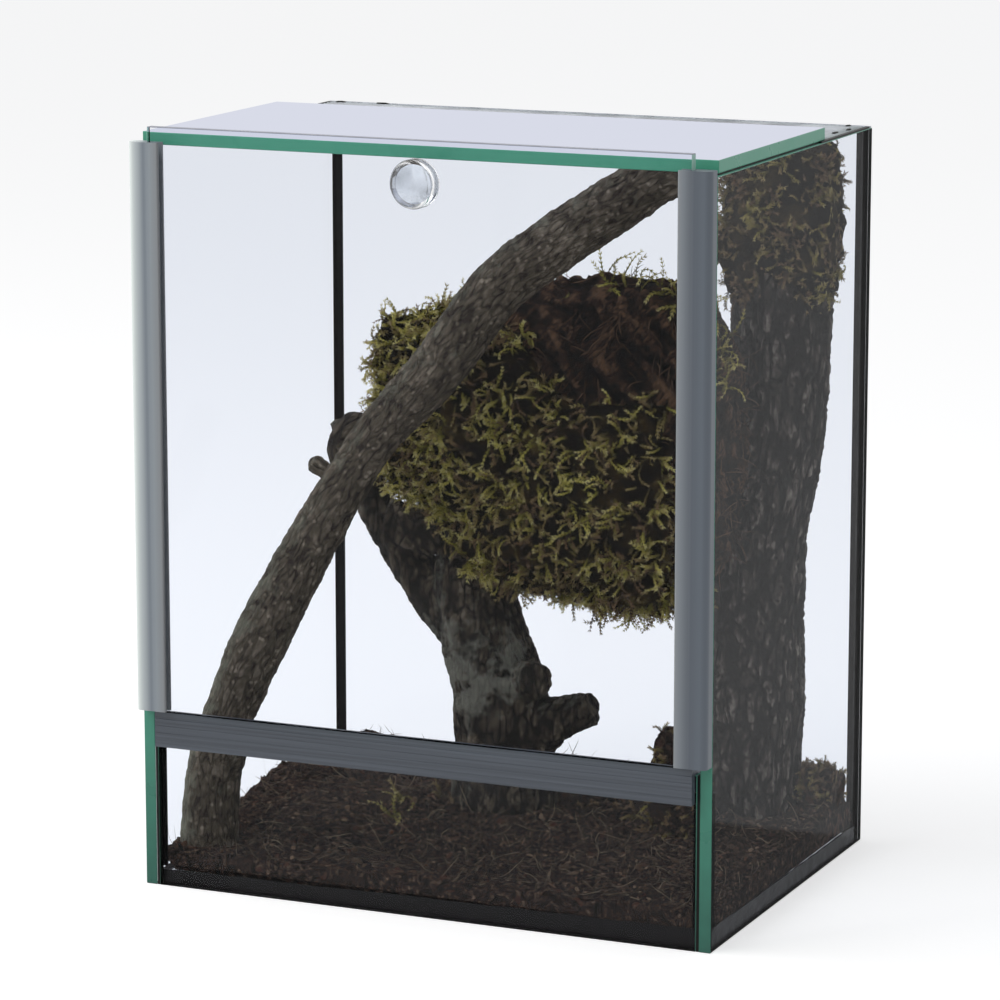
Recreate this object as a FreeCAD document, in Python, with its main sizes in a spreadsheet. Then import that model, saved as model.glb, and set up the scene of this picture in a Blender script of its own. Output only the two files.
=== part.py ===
import FreeCAD, Part
import math
import os

import Sketcher

# Insect terrarium of glass panes bonded with silicone, with a sliding front glass and its furnishing.
# Millimetres. X to the right, Y to the back, Z up. The origin is the middle of the underside.

document = FreeCAD.newDocument("insect_terrarium")
sizes = document.addObject("Spreadsheet::Sheet", "sizes")

DIMENSIONS = (
    # Glass box
    ("width", 200.0, "outer width over the side panes"),
    ("depth", 145.0, "outer depth over the side panes"),
    ("height", 250.0, "underside to the top of the lid pane"),
    ("glass", 4.0, "thickness of the fixed panes"),
    ("arris", 0.4, "ground edge of every pane"),
    ("joint", 1.0, "silicone between two panes"),
    ("bead", 2.0, "leg of the silicone fillet inside a corner"),
    ("recess", 0.3, "silicone held back from the outside"),
    ("film", 0.6, "silicone between the side panes and the lid"),
    # Lid and vent
    ("lid_setback", 3.5, "front of the side panes to the front of the lid"),
    ("lid_depth", 97.0, "lid pane from front to rear edge"),
    ("lid_inset", 1.0, "lid pane inside the outer faces"),
    ("mesh_lap", 5.0, "mesh tucked under the lid pane"),
    ("mesh_inset", 1.5, "mesh inside the outer faces"),
    ("mesh_border", 4.5, "plain border of the mesh"),
    ("mesh_pitch", 5.0, "spacing of the mesh openings"),
    ("mesh_bar", 0.8, "least metal between two openings"),
    # Sill pane, its rail and the doorway
    ("sill_high", 60.0, "underside to the ledge that the door rests on"),
    ("rail_high", 12.0, "height of the sill rail"),
    ("rail_wall", 1.2, "top and rear wall of the sill rail"),
    ("rail_front", 2.8, "thick front wall of the sill rail"),
    ("rail_step", 1.4, "clasp of the rail below the ledge that the door rests on"),
    ("rail_leg", 9.0, "ledge to the foot of the rail's rear leg"),
    ("rail_play", 0.2, "rail to the sill pane on each face"),
    ("rail_end_gap", 1.6, "rail end to the side pane"),
    ("groove", 0.1, "depth of the fine lines along the rail"),
    # Door channels
    ("channel_wide", 11.0, "door channel across"),
    ("channel_body", 6.4, "solid outer part of the door channel"),
    ("channel_wall", 1.0, "front lip of the door channel"),
    ("channel_back", 0.8, "rear lip of the door channel"),
    ("channel_round", 2.2, "rounded outer front edge of the channel"),
    ("channel_valley", 0.15, "depth of the valley along the front"),
    ("valley_half", 1.8, "half width of that valley"),
    ("channel_lift", 0.5, "channel foot above the door's ledge"),
    ("channel_drop", 2.5, "channel top below the lid's top"),
    ("bond", 0.3, "glue behind the door channels"),
    # Door
    ("door_glass", 3.0, "thickness of the door pane"),
    ("door_play", 0.25, "door to the channel on each face"),
    ("door_rise", 2.5, "door above the lid's top"),
    ("knob_across", 15.7, "head of the knob"),
    ("knob_waist", 12.0, "neck of the knob"),
    ("knob_long", 5.2, "knob from its pad to its face"),
    ("knob_drop", 13.3, "knob axis below the door's top"),
    ("knob_aside", 2.0, "knob axis to the right of the middle"),
    ("pad_across", 13.0, "adhesive disc of the knob"),
    ("pad_thick", 0.5, "thickness of the adhesive disc"),
    # Furnishing
    ("soil_front", 8.0, "soil on the base at the front"),
    ("soil_rear", 13.0, "soil on the base at the back"),
    ("mound_rise", 5.0, "left mound above the soil"),
    ("clearance", 0.3, "furnishing to the glass"),
    ("branch_foot", 9.6, "radius of the diagonal branch at its foot"),
    ("branch_waist", 7.4, "radius of the branch at its thinnest"),
    ("branch_head", 9.0, "radius of the branch near the lid"),
    ("branch_front", 6.6, "gap from the sill pane to the branch's foot"),
    ("branch_head_gap", 24.0, "centre of the branch's head to the right side pane"),
    ("branch_lean", 37.0, "branch's head behind its foot"),
    ("trunk_foot", 18.6, "radius of the upright trunk at the soil"),
    ("trunk_head", 16.3, "radius of the upright trunk near the lid"),
    ("trunk_top_gap", 7.0, "trunk's top below the lid"),
    ("stump_foot", 15.0, "radius of the forked stump's stem"),
    ("stump_tip", 5.6, "radius of the stump's arm at its cut"),
    ("stump_aside", 13.0, "stump's stem to the left of the middle"),
    ("stump_back", 20.0, "stump's stem behind the middle"),
    ("stump_fork", 72.0, "underside to the fork of the stump"),
    ("chunk_long", 116.0, "bark chunk from left to right"),
    ("chunk_deep", 46.0, "bark chunk from front to back"),
    ("chunk_high", 112.0, "bark chunk at its tallest"),
    ("chunk_aside", 33.0, "bark chunk beyond the stump's stem on the left"),
    ("chunk_lift", 70.0, "stump's fork to the middle of the bark chunk"),
    ("moss_thick", 7.0, "moss standing on the bark"),
    ("collar_long", 47.0, "moss collar down from the trunk's top"),
    ("heap_across", 28.0, "corner mound across"),
    ("heap_high", 25.0, "corner mound above the base pane"),
)

for row, (alias, value, meaning) in enumerate(DIMENSIONS, start=1):
    sizes.set("A%d" % row, alias)
    sizes.set("B%d" % row, str(value))
    sizes.set("C%d" % row, meaning)
    sizes.setAlias("B%d" % row, alias)

# Sizes that follow from the driving ones
DERIVED = (
    ("side_high", "height - glass - film", "height of the side and back panes"),
    ("inner_x", "width / 2 - glass", "inner face of a side pane"),
    ("front_y", "-depth / 2", "front face of the side and sill panes"),
    ("rear_y", "depth / 2", "rear face of the box"),
    ("inner_front", "front_y + glass", "inner face of the sill pane"),
    ("inner_rear", "rear_y - glass", "inner face of the back pane"),
    ("sill_pane_high", "sill_high - rail_step - rail_wall - rail_play", "top edge of the sill pane"),
    ("slot", "door_glass + 2 * door_play", "slot of the door channels"),
    ("channel_deep", "channel_wall + slot + channel_back", "door channel from front to back"),
    ("channel_y", "front_y - bond - channel_deep", "front face of the door channels"),
    ("channel_low", "sill_high + channel_lift", "foot of the door channels"),
    ("channel_long", "height - channel_drop - channel_low", "length of the door channels"),
    ("door_y", "channel_y + channel_wall + door_play", "front face of the door pane"),
    ("door_high", "height + door_rise - sill_high", "height of the door pane"),
    ("door_wide", "width - 2 * (channel_body + door_play)", "width of the door pane"),
    ("lid_front", "front_y + lid_setback", "front edge of the lid pane"),
    ("lid_rear", "lid_front + lid_depth", "rear edge of the lid pane"),
    ("rail_deep", "rail_front + glass + 2 * rail_play + rail_wall", "sill rail from front to back"),
    ("rail_y", "front_y - rail_play - rail_front", "front face of the sill rail"),
    ("fillet_end", "sill_high - rail_leg - rail_play", "top of the silicone fillets behind the sill"),
)

for row, (alias, formula, meaning) in enumerate(DERIVED, start=len(DIMENSIONS) + 2):
    sizes.set("A%d" % row, alias)
    sizes.set("B%d" % row, "=" + formula)
    sizes.set("C%d" % row, meaning)
    sizes.setAlias("B%d" % row, alias)

document.recompute()
pieces = []


def measure(formula):
    """The value of a formula of the sheet's aliases, in millimetres."""
    return float(sizes.evalExpression(formula))


def linked(formula):
    """The same formula as an expression that another object can hold."""
    words = []
    word = ""
    for letter in formula + " ":
        if letter.isalnum() or letter == "_":
            word += letter
            continue
        if word and not word[0].isdigit():
            word = "sizes." + word
        words.append(word + letter)
        word = ""
    return "".join(words).strip()


def keep(piece, label):
    """Name a finished piece as a sub-part of the terrarium."""
    piece.Label = label
    pieces.append(piece)
    return piece


def place(piece, x, y, z, rotation=None):
    """Put a piece at three formulas, turned first where a rotation is given."""
    if rotation is not None:
        piece.Placement.Rotation = rotation
    for axis, formula in zip("xyz", (x, y, z)):
        piece.setExpression(".Placement.Base." + axis, linked(formula))


def outline(body, plane_role, corners, lift="0"):
    """A closed straight-sided sketch whose corners are held by formulas from its origin."""
    sketch = body.newObject("Sketcher::SketchObject", body.Name + "_outline")
    plane = next(item for item in body.Origin.OriginFeatures if item.Role == plane_role)
    sketch.AttachmentSupport = (plane, "")
    sketch.MapMode = "FlatFace"
    if lift != "0":
        sketch.setExpression("AttachmentOffset.Base.z", linked(lift))
    points = [FreeCAD.Vector(measure(x), measure(y), 0) for x, y in corners]
    count = len(points)
    for index in range(count):
        sketch.addGeometry(Part.LineSegment(points[index], points[(index + 1) % count]))
    for index in range(count):
        sketch.addConstraint(Sketcher.Constraint("Coincident", index, 2, (index + 1) % count, 1))
    for index, corner in enumerate(corners):
        for kind, axis, formula in (("DistanceX", -2, corner[0]), ("DistanceY", -1, corner[1])):
            if formula == "0":
                sketch.addConstraint(Sketcher.Constraint("PointOnObject", index, 1, axis))
                continue
            held = sketch.addConstraint(
                Sketcher.Constraint(kind, -1, 1, index, 1, measure(formula)))
            sketch.setExpression("Constraints[%d]" % held, linked(formula))
    return sketch


def pad(body, sketch, length):
    """Extrude a sketch by a formula."""
    feature = body.newObject("PartDesign::Pad", body.Name + "_pad")
    feature.Profile = sketch
    feature.setExpression("Length", linked(length))
    document.recompute()
    return feature


def new_body(label):
    """An empty body that will become the named sub-part."""
    return keep(document.addObject("PartDesign::Body", label), label)


def edges_at(feature, wanted):
    """The names of the edges whose middle satisfies a test."""
    return ["Edge%d" % (number + 1) for number, edge in enumerate(feature.Shape.Edges)
            if wanted(edge.CenterOfMass)]


def dress(body, kind, feature, edges, formula):
    """Chamfer or fillet some edges of a feature by a formula."""
    dressed = body.newObject("PartDesign::" + kind, body.Name + "_" + kind.lower())
    dressed.Base = (feature, edges)
    dressed.setExpression("Size" if kind == "Chamfer" else "Radius", linked(formula))
    document.recompute()
    return dressed


def pane(label, across, along, tall, x, y, z):
    """A cut glass pane with ground edges, from its lowest corner."""
    body = new_body(label)
    corners = (("0", "0"), (across, "0"), (across, along), ("0", along))
    blank = pad(body, outline(body, "XY_Plane", corners), tall)
    dress(body, "Chamfer", blank, edges_at(blank, lambda middle: True), "arris")
    place(body, x, y, z)
    return body


# Glass panes: the side panes run the full depth and height, the others stand between them
pane("base_pane", "2 * (inner_x - joint)", "inner_rear - inner_front - 2 * joint", "glass",
     "joint - inner_x", "inner_front + joint", "0")
pane("left_side_pane", "glass", "depth", "side_high", "-width / 2", "front_y", "0")
pane("right_side_pane", "glass", "depth", "side_high", "inner_x", "front_y", "0")
pane("back_pane", "2 * (inner_x - joint)", "glass", "side_high", "joint - inner_x", "inner_rear", "0")
pane("front_sill_pane", "2 * (inner_x - joint)", "glass", "sill_pane_high",
     "joint - inner_x", "front_y", "0")
pane("lid_pane", "width - 2 * lid_inset", "lid_depth", "glass",
     "lid_inset - width / 2", "lid_front", "height - glass")


# Silicone of the upright corners: a strip between two panes and a fillet inside the box
UPRIGHT = FreeCAD.Rotation()
ABOUT_X = FreeCAD.Rotation(FreeCAD.Vector(1, 0, 0), 180)
ABOUT_Y = FreeCAD.Rotation(FreeCAD.Vector(0, 1, 0), 180)
ABOUT_Z = FreeCAD.Rotation(FreeCAD.Vector(0, 0, 1), 180)


def corner_seam(label, tall, foot, run, x, y, z, rotation):
    """Corner silicone, drawn from the side pane's inner face and the outer face of the box.

    The strip has the full height; the fillet has its own foot and run inside the box.
    """
    body = new_body(label)
    strip = (("0", "recess"), ("joint", "recess"), ("joint", "glass"), ("0", "glass"))
    pad(body, outline(body, "XY_Plane", strip), tall)
    fillet = (("0", "glass"), ("joint + bead", "glass"), ("joint", "glass + joint"),
              ("0", "glass + bead"))
    pad(body, outline(body, "XY_Plane", fillet, foot), run)
    place(body, x, y, z, rotation)


# The sill pane's fillets end under the rail's rear leg
corner_seam("sill_seam_left", "sill_pane_high", "glass + bead", "fillet_end - glass - bead",
            "-inner_x", "front_y", "0", UPRIGHT)
corner_seam("sill_seam_right", "sill_pane_high", "sill_pane_high - fillet_end",
            "fillet_end - glass - bead", "inner_x", "front_y", "sill_pane_high", ABOUT_Y)
corner_seam("rear_seam_left", "side_high", "0", "side_high - glass - bead",
            "-inner_x", "rear_y", "side_high", ABOUT_X)
corner_seam("rear_seam_right", "side_high", "glass + bead", "side_high - glass - bead",
            "inner_x", "rear_y", "0", ABOUT_Z)


def silicone_frame(body, margin, foot, tall):
    """A rectangular frame of silicone along the panes: a slab with a rectangle cut out of it."""
    long_x = "2 * inner_x"
    long_y = "(inner_rear - inner_front)"
    outer = (("0", "0"), (long_x, "0"), (long_x, long_y), ("0", long_y))
    pad(body, outline(body, "XY_Plane", outer, foot), tall)
    inner = ((margin, margin), (long_x + " - " + margin, margin),
             (long_x + " - " + margin, long_y + " - " + margin), (margin, long_y + " - " + margin))
    cut = body.newObject("PartDesign::Pocket", body.Name + "_hole")
    cut.Profile = outline(body, "XY_Plane", inner, foot)
    cut.setExpression("Length", linked(tall))
    cut.Reversed = True
    document.recompute()
    return cut


# Silicone round the base pane: a strip at its edge and a sloping fillet on top
base_strip = document.addObject("PartDesign::Body", "base_strip")
silicone_frame(base_strip, "joint", "recess", "glass - recess")
base_fillet = document.addObject("PartDesign::Body", "base_fillet")
hole = silicone_frame(base_fillet, "(joint + bead)", "glass", "bead")
fillet_top = measure("glass + bead")
middle_x = measure("inner_x")
middle_y = measure("(inner_rear - inner_front) / 2")
half_hole_x = measure("inner_x - joint - bead")
half_hole_y = middle_y - measure("joint + bead")
slack = measure("bead") / 4


def on_hole_rim(middle):
    """True for the four top edges of the opening."""
    if abs(middle.z - fillet_top) > slack:
        return False
    return (abs(middle.x - middle_x) < half_hole_x + slack
            and abs(middle.y - middle_y) < half_hole_y + slack)


dress(base_fillet, "Chamfer", hole, edges_at(hole, on_hole_rim), "bead * 0.98")
base_seam = document.addObject("Part::Fuse", "base_seam")
base_seam.Base = base_strip
base_seam.Tool = base_fillet
place(base_seam, "-inner_x", "inner_front", "0")
keep(base_seam, "base_seam")


def slab(label, long, wide, tall, x, y, z):
    """A plain rectangular strip."""
    box = document.addObject("Part::Box", label)
    box.setExpression("Length", linked(long))
    box.setExpression("Width", linked(wide))
    box.setExpression("Height", linked(tall))
    place(box, x, y, z)
    return box


# Silicone films under the lid pane, on the side panes' top edges
for side, start in (("left", "lid_inset + recess - width / 2"), ("right", "inner_x")):
    film = slab("lid_seam_" + side, "glass - lid_inset - recess",
                "lid_depth - mesh_lap - 2 * recess", "film",
                start, "lid_front + recess", "side_high")
    keep(film, "lid_seam_" + side)


# Vent mesh: one metal sheet full of square openings set on their corners
def mesh_sheet():
    """The holed face of the mesh, extruded by the height of the silicone film."""
    half = measure("width / 2 - mesh_inset")
    front = measure("lid_rear - mesh_lap")
    back = measure("rear_y - mesh_inset")
    border = measure("mesh_border")
    pitch = measure("mesh_pitch")
    reach = (pitch - measure("mesh_bar")) / 2
    low = measure("side_high")
    corners = [(-half, front), (half, front), (half, back), (-half, back), (-half, front)]
    wires = [Part.makePolygon([FreeCAD.Vector(x, y, low) for x, y in corners])]
    columns = int((2 * (half - border)) // pitch)
    rows = int((back - front - 2 * border) // pitch)
    first_x = -(columns - 1) * pitch / 2
    first_y = (front + back) / 2 - (rows - 1) * pitch / 2
    for row in range(rows):
        for column in range(columns):
            x = first_x + column * pitch
            y = first_y + row * pitch
            diamond = [(x - reach, y), (x, y - reach), (x + reach, y), (x, y + reach), (x - reach, y)]
            wires.append(Part.makePolygon([FreeCAD.Vector(px, py, low) for px, py in diamond]))
    face = Part.makeFace(wires, "Part::FaceMakerCheese")
    return face.extrude(FreeCAD.Vector(0, 0, measure("film")))


def formed(label, shape):
    """A piece whose free form is set as a shape."""
    feature = document.addObject("Part::Feature", label)
    feature.Shape = shape
    feature.Placement = FreeCAD.Placement()
    return keep(feature, label)


formed("vent_mesh", mesh_sheet())

# Silicone that holds the mesh's three outer edges on the panes, in one U-shaped bead
bead_left = slab("vent_bead_left", "mesh_inset - recess", "rear_y - recess - lid_rear + mesh_lap", "film",
                 "recess - width / 2", "lid_rear - mesh_lap", "side_high")
bead_right = slab("vent_bead_right", "mesh_inset - recess", "rear_y - recess - lid_rear + mesh_lap", "film",
                  "width / 2 - mesh_inset", "lid_rear - mesh_lap", "side_high")
bead_rear = slab("vent_bead_rear", "width - 2 * recess", "mesh_inset - recess", "film",
                 "recess - width / 2", "rear_y - mesh_inset", "side_high")
vent_bead = document.addObject("Part::MultiFuse", "vent_bead")
vent_bead.Shapes = [bead_left, bead_right, bead_rear]
vent_bead.Refine = True
keep(vent_bead, "vent_bead")


# Door channels: extruded plastic, a rounded solid outer part and a slot open inwards
def door_channel(label, x, z, rotation):
    """One channel, drawn from its outer front corner."""
    body = new_body(label)
    corners = (("0", "0"), ("channel_body - valley_half", "0"),
               ("channel_body", "channel_valley"), ("channel_body + valley_half", "0"),
               ("channel_wide", "0"), ("channel_wide", "channel_wall"),
               ("channel_body", "channel_wall"), ("channel_body", "channel_wall + slot"),
               ("channel_wide", "channel_wall + slot"), ("channel_wide", "channel_deep"),
               ("0", "channel_deep"))
    blank = pad(body, outline(body, "XY_Plane", corners), "channel_long")
    outer = edges_at(blank, lambda middle: abs(middle.x) < 0.01 and abs(middle.y) < 0.01)
    rounded = dress(body, "Fillet", blank, outer, "channel_round")
    lip_x = measure("channel_wide")
    lip = edges_at(rounded, lambda middle: abs(middle.x - lip_x) < 0.01 and abs(middle.y) < 0.01)
    dress(body, "Fillet", rounded, lip, "channel_wall * 0.6")
    place(body, x, "channel_y", z, rotation)


door_channel("left_door_channel", "-width / 2", "channel_low", UPRIGHT)
door_channel("right_door_channel", "width / 2", "channel_low + channel_long", ABOUT_Y)

# Thin glue lines that hold the channels on the side panes' front edges
for side, start in (("left", "recess - width / 2"), ("right", "inner_x + recess")):
    glue = slab(side + "_channel_bond", "glass - 2 * recess", "bond",
                "side_high - channel_low - 2 * recess",
                start, "front_y - bond", "channel_low + recess")
    keep(glue, side + "_channel_bond")

# Sill rail: extruded plastic that clasps the sill pane, with fine lines along its face
# The door stands on its front wall, and the clasp behind lies lower
rail = new_body("sill_rail")
rail_section = [("0", "0"), ("rail_front", "0"), ("rail_front", "rail_high - rail_step - rail_wall"),
                ("rail_deep - rail_wall", "rail_high - rail_step - rail_wall"),
                ("rail_deep - rail_wall", "rail_high - rail_leg"),
                ("rail_deep", "rail_high - rail_leg"), ("rail_deep", "rail_high - rail_step"),
                ("rail_front", "rail_high - rail_step"), ("rail_front", "rail_high"), ("0", "rail_high")]
for share in ("0.8", "0.6", "0.4", "0.2"):
    line = "rail_high * " + share
    rail_section += [("0", line + " + groove"), ("groove", line), ("0", line + " - groove")]
pad(rail, outline(rail, "YZ_Plane", rail_section), "2 * (inner_x - rail_end_gap)")
place(rail, "rail_end_gap - inner_x", "rail_y", "sill_high - rail_high")

# Sliding door: a glass pane whose ends run in the channels and whose foot stands on the sill rail
pane("door_pane", "door_wide", "door_glass", "door_high", "-door_wide / 2", "door_y", "sill_high")

# Knob: turned clear acrylic on an adhesive disc
knob = new_body("door_knob")
knob_section = (("0", "0"), ("knob_across / 2", "0"), ("knob_across / 2", "knob_long * 0.14"),
                ("knob_waist / 2", "knob_long * 0.3"), ("knob_waist / 2", "knob_long * 0.45"),
                ("knob_across / 2", "knob_long * 0.62"), ("knob_across / 2", "knob_long * 0.84"),
                ("knob_across * 0.43", "knob_long * 0.95"), ("knob_across * 0.25", "knob_long"),
                ("0", "knob_long"))
turned = knob.newObject("PartDesign::Revolution", "door_knob_turned")
turned.Profile = outline(knob, "XY_Plane", knob_section)
turned.ReferenceAxis = (turned.Profile[0], ["V_Axis"])
turned.Angle = 360
place(knob, "knob_aside", "door_y - pad_thick", "height + door_rise - knob_drop", ABOUT_Z)

disc = document.addObject("Part::Cylinder", "knob_pad")
disc.setExpression("Radius", linked("pad_across / 2"))
disc.setExpression("Height", linked("pad_thick"))
place(disc, "knob_aside", "door_y", "height + door_rise - knob_drop",
      FreeCAD.Rotation(FreeCAD.Vector(1, 0, 0), 90))
keep(disc, "knob_pad")


# Furnishing: free forms of wood, moss and soil inside the glass
BARK_SIDES = 10
CHUNK_SIDES = 12


def air_space(top="height - glass - film"):
    """The inside of the tank above its base pane, clear of the glass and of the corner silicone."""
    gap = measure("clearance")
    bead = measure("joint + bead")
    half = measure("inner_x") - gap
    front = measure("inner_front") + gap
    back = measure("inner_rear") - gap
    high = measure(top) - gap
    low = measure("glass")
    wide = Part.makeBox(2 * half, back - front - 2 * bead, high - low,
                        FreeCAD.Vector(-half, front + bead, low))
    deep = Part.makeBox(2 * (half - bead), back - front, high - low,
                        FreeCAD.Vector(bead - half, front, low))
    space = wide.fuse(deep)
    rim = Part.makeBox(2 * half, back - front, bead, FreeCAD.Vector(-half, front, low))
    floor = Part.makeBox(2 * (half - bead), back - front - 2 * bead, bead,
                         FreeCAD.Vector(bead - half, front + bead, low))
    return space.cut(rim.cut(floor)).removeSplitter()


def ring_of_bark(centre, axis, across, radius, turn, uneven):
    """One cross-section of a log: an uneven many-sided round."""
    axis = FreeCAD.Vector(axis).normalize()
    side = axis.cross(FreeCAD.Vector(across)).normalize()
    other = axis.cross(side)
    points = []
    for step in range(BARK_SIDES):
        angle = 2 * math.pi * step / BARK_SIDES
        reach = radius * (1 + uneven * math.cos(2 * angle + turn) + uneven * math.sin(3 * angle - turn))
        points.append(centre + side * (reach * math.cos(angle)) + other * (reach * math.sin(angle)))
    return Part.makePolygon(points + points[:1])


def log(route, across, uneven=0.04):
    """A log through a route of (x, y, z, radius), each section square to the way it goes."""
    centres = [FreeCAD.Vector(x, y, z) for x, y, z, radius in route]
    rings = []
    for index, (x, y, z, radius) in enumerate(route):
        before = centres[max(index - 1, 0)]
        after = centres[min(index + 1, len(centres) - 1)]
        rings.append(ring_of_bark(centres[index], after - before, across, radius, 0.6 * index, uneven))
    return Part.makeLoft(rings, True, True)


def between(start, end, share):
    """The value at a share of the way between two."""
    return start + (end - start) * share


inner = measure("inner_x")
front = measure("inner_front")
rear = measure("inner_rear")
floor_top = measure("glass")
lid_under = measure("height - glass")
space = air_space()
LEVEL = (0, 1, 0)

# Upright trunk: stands in the soil at the back right and leans a little towards the right pane
trunk_foot = measure("trunk_foot")
trunk_head = measure("trunk_head")
trunk_x = inner - measure("clearance") - 1.06 * trunk_head
trunk_y = rear - measure("joint + bead") - trunk_foot
trunk_top = lid_under - measure("trunk_top_gap")
# Share of the height, way in from the head's place, and swelling
TRUNK = ((0.0, 14.8, 1.02), (0.15, 12.2, 0.97), (0.3, 12.0, 0.98), (0.45, 9.8, 0.97),
         (0.6, 3.6, 0.97), (0.75, 2.2, 0.99), (0.9, 2.0, 1.0), (1.0, 2.0, 0.96))
trunk_route = []
for share, inwards, swell in TRUNK:
    trunk_route.append((trunk_x - inwards, trunk_y, between(floor_top, trunk_top, share),
                        between(trunk_foot, trunk_head, share) * swell))
trunk = log(trunk_route, LEVEL).common(space)

# Diagonal branch: from the front left foot up to the lid at the right
branch_foot = measure("branch_foot")
branch_waist = measure("branch_waist")
branch_head = measure("branch_head")
foot_x = measure("clearance - inner_x") + 1.08 * branch_foot
foot_y = front + measure("branch_front") + branch_foot
head_x = measure("inner_x - branch_head_gap")
head_y = foot_y + measure("branch_lean")
soak = measure("soil_front") / 4
# Share of the way to the right, to the back and up, and thinning towards the waist
BRANCH = ((0.0, 0.0, 0.0, 0.0), (0.0, 0.1, 0.14, 0.3), (0.04, 0.17, 0.22, 0.5),
          (0.095, 0.25, 0.305, 0.1), (0.205, 0.38, 0.455, 0.8), (0.28, 0.46, 0.545, 1.0),
          (0.35, 0.52, 0.605, 0.8), (0.465, 0.62, 0.7, 0.2), (0.59, 0.73, 0.805, 0.3),
          (0.71, 0.81, 0.872, 0.0), (0.83, 0.9, 0.926, 0.1), (1.0, 1.0, 0.99, 0.3))
branch_route = []
for way, deep, rise, thinning in BRANCH:
    thick = between(branch_foot, branch_head, rise)
    branch_route.append((between(foot_x, head_x, way), between(foot_y, head_y, deep),
                         between(floor_top + soak, lid_under, rise),
                         between(thick, branch_waist, thinning)))
branch = log(branch_route, LEVEL).common(space)

# Forked stump: a stem in the soil that carries the bark chunk, with a long arm on the left, a cut limb
# that lies across the stem's top, a side stub and a sawn knot
stump_foot = measure("stump_foot")
stump_tip = measure("stump_tip")
stem_x = -measure("stump_aside")
stem_y = measure("stump_back")
fork = measure("stump_fork")


def wood_from_fork(steps):
    """A log of the stump; each step is its offset from the fork and its radius."""
    return log([(stem_x + aside, stem_y + back, fork + rise, radius)
                for aside, back, rise, radius in steps], LEVEL)


stem = wood_from_fork(((3.5, 0, soak + floor_top - fork, stump_foot * 1.25),
                       (3, 0, -fork * 0.47, stump_foot * 1.16), (1, 0, -fork * 0.22, stump_foot * 1.12),
                       (-5, 0, 0, stump_foot * 1.06), (-9, 0, 18, stump_foot * 0.95),
                       (-12, 0, 32, stump_foot * 0.7)))
left_arm = wood_from_fork(((-2, 0, -12, stump_foot * 0.6), (-9, 0, 0, stump_foot * 0.67),
                           (-21.5, 0, 11, stump_foot * 0.6), (-33, 0, 25, stump_foot * 0.53),
                           (-45, 0, 41, stump_foot * 0.46), (-57, 0, 72, stump_tip)))
cut_limb = wood_from_fork(((-34, -14, 40, stump_foot * 0.54), (-17, -12, 38, stump_foot * 0.53),
                           (5, -8, 35, stump_foot * 0.52), (19, -4, 34, stump_foot * 0.4)))
side_stub = wood_from_fork(((8, 0, -36, stump_foot * 0.72), (23, -2, -25, stump_foot * 0.52),
                            (37, -3, -20, stump_tip)))
knot = wood_from_fork(((12, -4, -13, stump_foot * 0.46), (21, -16, -9, stump_foot * 0.42)))
stump = stem.fuse([left_arm, cut_limb, side_stub, knot]).common(space)

# Bark chunk: lies on the stump's fork, against the trunk and behind the branch
chunk_long = measure("chunk_long")
chunk_deep = measure("chunk_deep")
chunk_high = measure("chunk_high")
chunk_left = stem_x - measure("chunk_aside")
chunk_y = stem_y - 4.0
chunk_z = fork + measure("chunk_lift")
# Share of the length, rise of the section's middle, and the section's share of the height and depth
CHUNK = ((0.0, 2.0, 0.25, 0.5), (0.103, 2.0, 0.5, 0.72), (0.26, 1.0, 0.84, 0.92), (0.448, 1.0, 0.93, 1.0),
         (0.638, 3.0, 0.98, 1.03), (0.793, 4.0, 1.01, 1.0), (0.914, 3.0, 0.95, 0.92), (1.0, 0.0, 0.62, 0.72))
MAT = ((-0.086, 30.0, 0.02, 0.2), (-0.009, 9.0, 0.44, 0.5), (0.103, 9.0, 0.54, 0.75),
       (0.26, 3.0, 0.77, 0.98), (0.448, -5.0, 0.74, 1.06), (0.638, -10.0, 0.68, 1.08),
       (0.793, -10.0, 0.68, 1.06), (0.9, -9.0, 0.62, 0.96))


def bark_loft(sections, grow):
    """The chunk's form through uneven oval sections square to X, grown on every side."""
    wires = []
    for along, lift, tall, deep in sections:
        x = chunk_left + along * chunk_long
        points = []
        for step in range(CHUNK_SIDES):
            angle = 2 * math.pi * step / CHUNK_SIDES
            lump = 1 + 0.06 * math.cos(3 * angle + x / 9.0)
            across = chunk_deep / 2 * deep * lump + grow
            upward = chunk_high / 2 * tall * lump + grow
            points.append(FreeCAD.Vector(x, chunk_y + across * math.cos(angle),
                                         chunk_z + lift + upward * math.sin(angle)))
        wires.append(Part.makePolygon(points + points[:1]))
    return Part.makeLoft(wires, True, True)


chunk = bark_loft(CHUNK, 0.0).common(space)
for solid in (trunk, branch, stump):
    chunk = chunk.cut(solid)

# Moss mat: moss that stands on the chunk's front and left, under and beside the branch
moss_thick = measure("moss_thick")
MAT_BACK = 8.0
mat_reach = chunk_deep + moss_thick
mat_front = Part.makeBox(2 * inner, mat_reach, lid_under,
                         FreeCAD.Vector(-inner, chunk_y + MAT_BACK - mat_reach, 0))
mat = bark_loft(MAT, moss_thick).common(mat_front).common(space)
for solid in (chunk, trunk, branch, stump):
    mat = mat.cut(solid)

# Trunk moss: a collar of moss round the trunk's top
collar_low = trunk_top - measure("collar_long")
collar_route = []
for share, thick in ((0.0, 0.2), (0.25, 0.64), (0.6, 0.8), (1.0, 0.43)):
    collar_route.append((trunk_x - 3.5, trunk_y, between(collar_low, trunk_top + 3.0, share),
                         trunk_head + thick * moss_thick))
collar = log(collar_route, LEVEL, 0.06).common(space).cut(trunk)
for solid in (chunk, mat, branch):
    collar = collar.cut(solid)

# Soil: spread on the base pane, rising to the back, heaped on the left and round the stump
SOIL_COLUMNS = 12
SOIL_ROWS = 8
SOIL_MARGIN = 2.0
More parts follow.
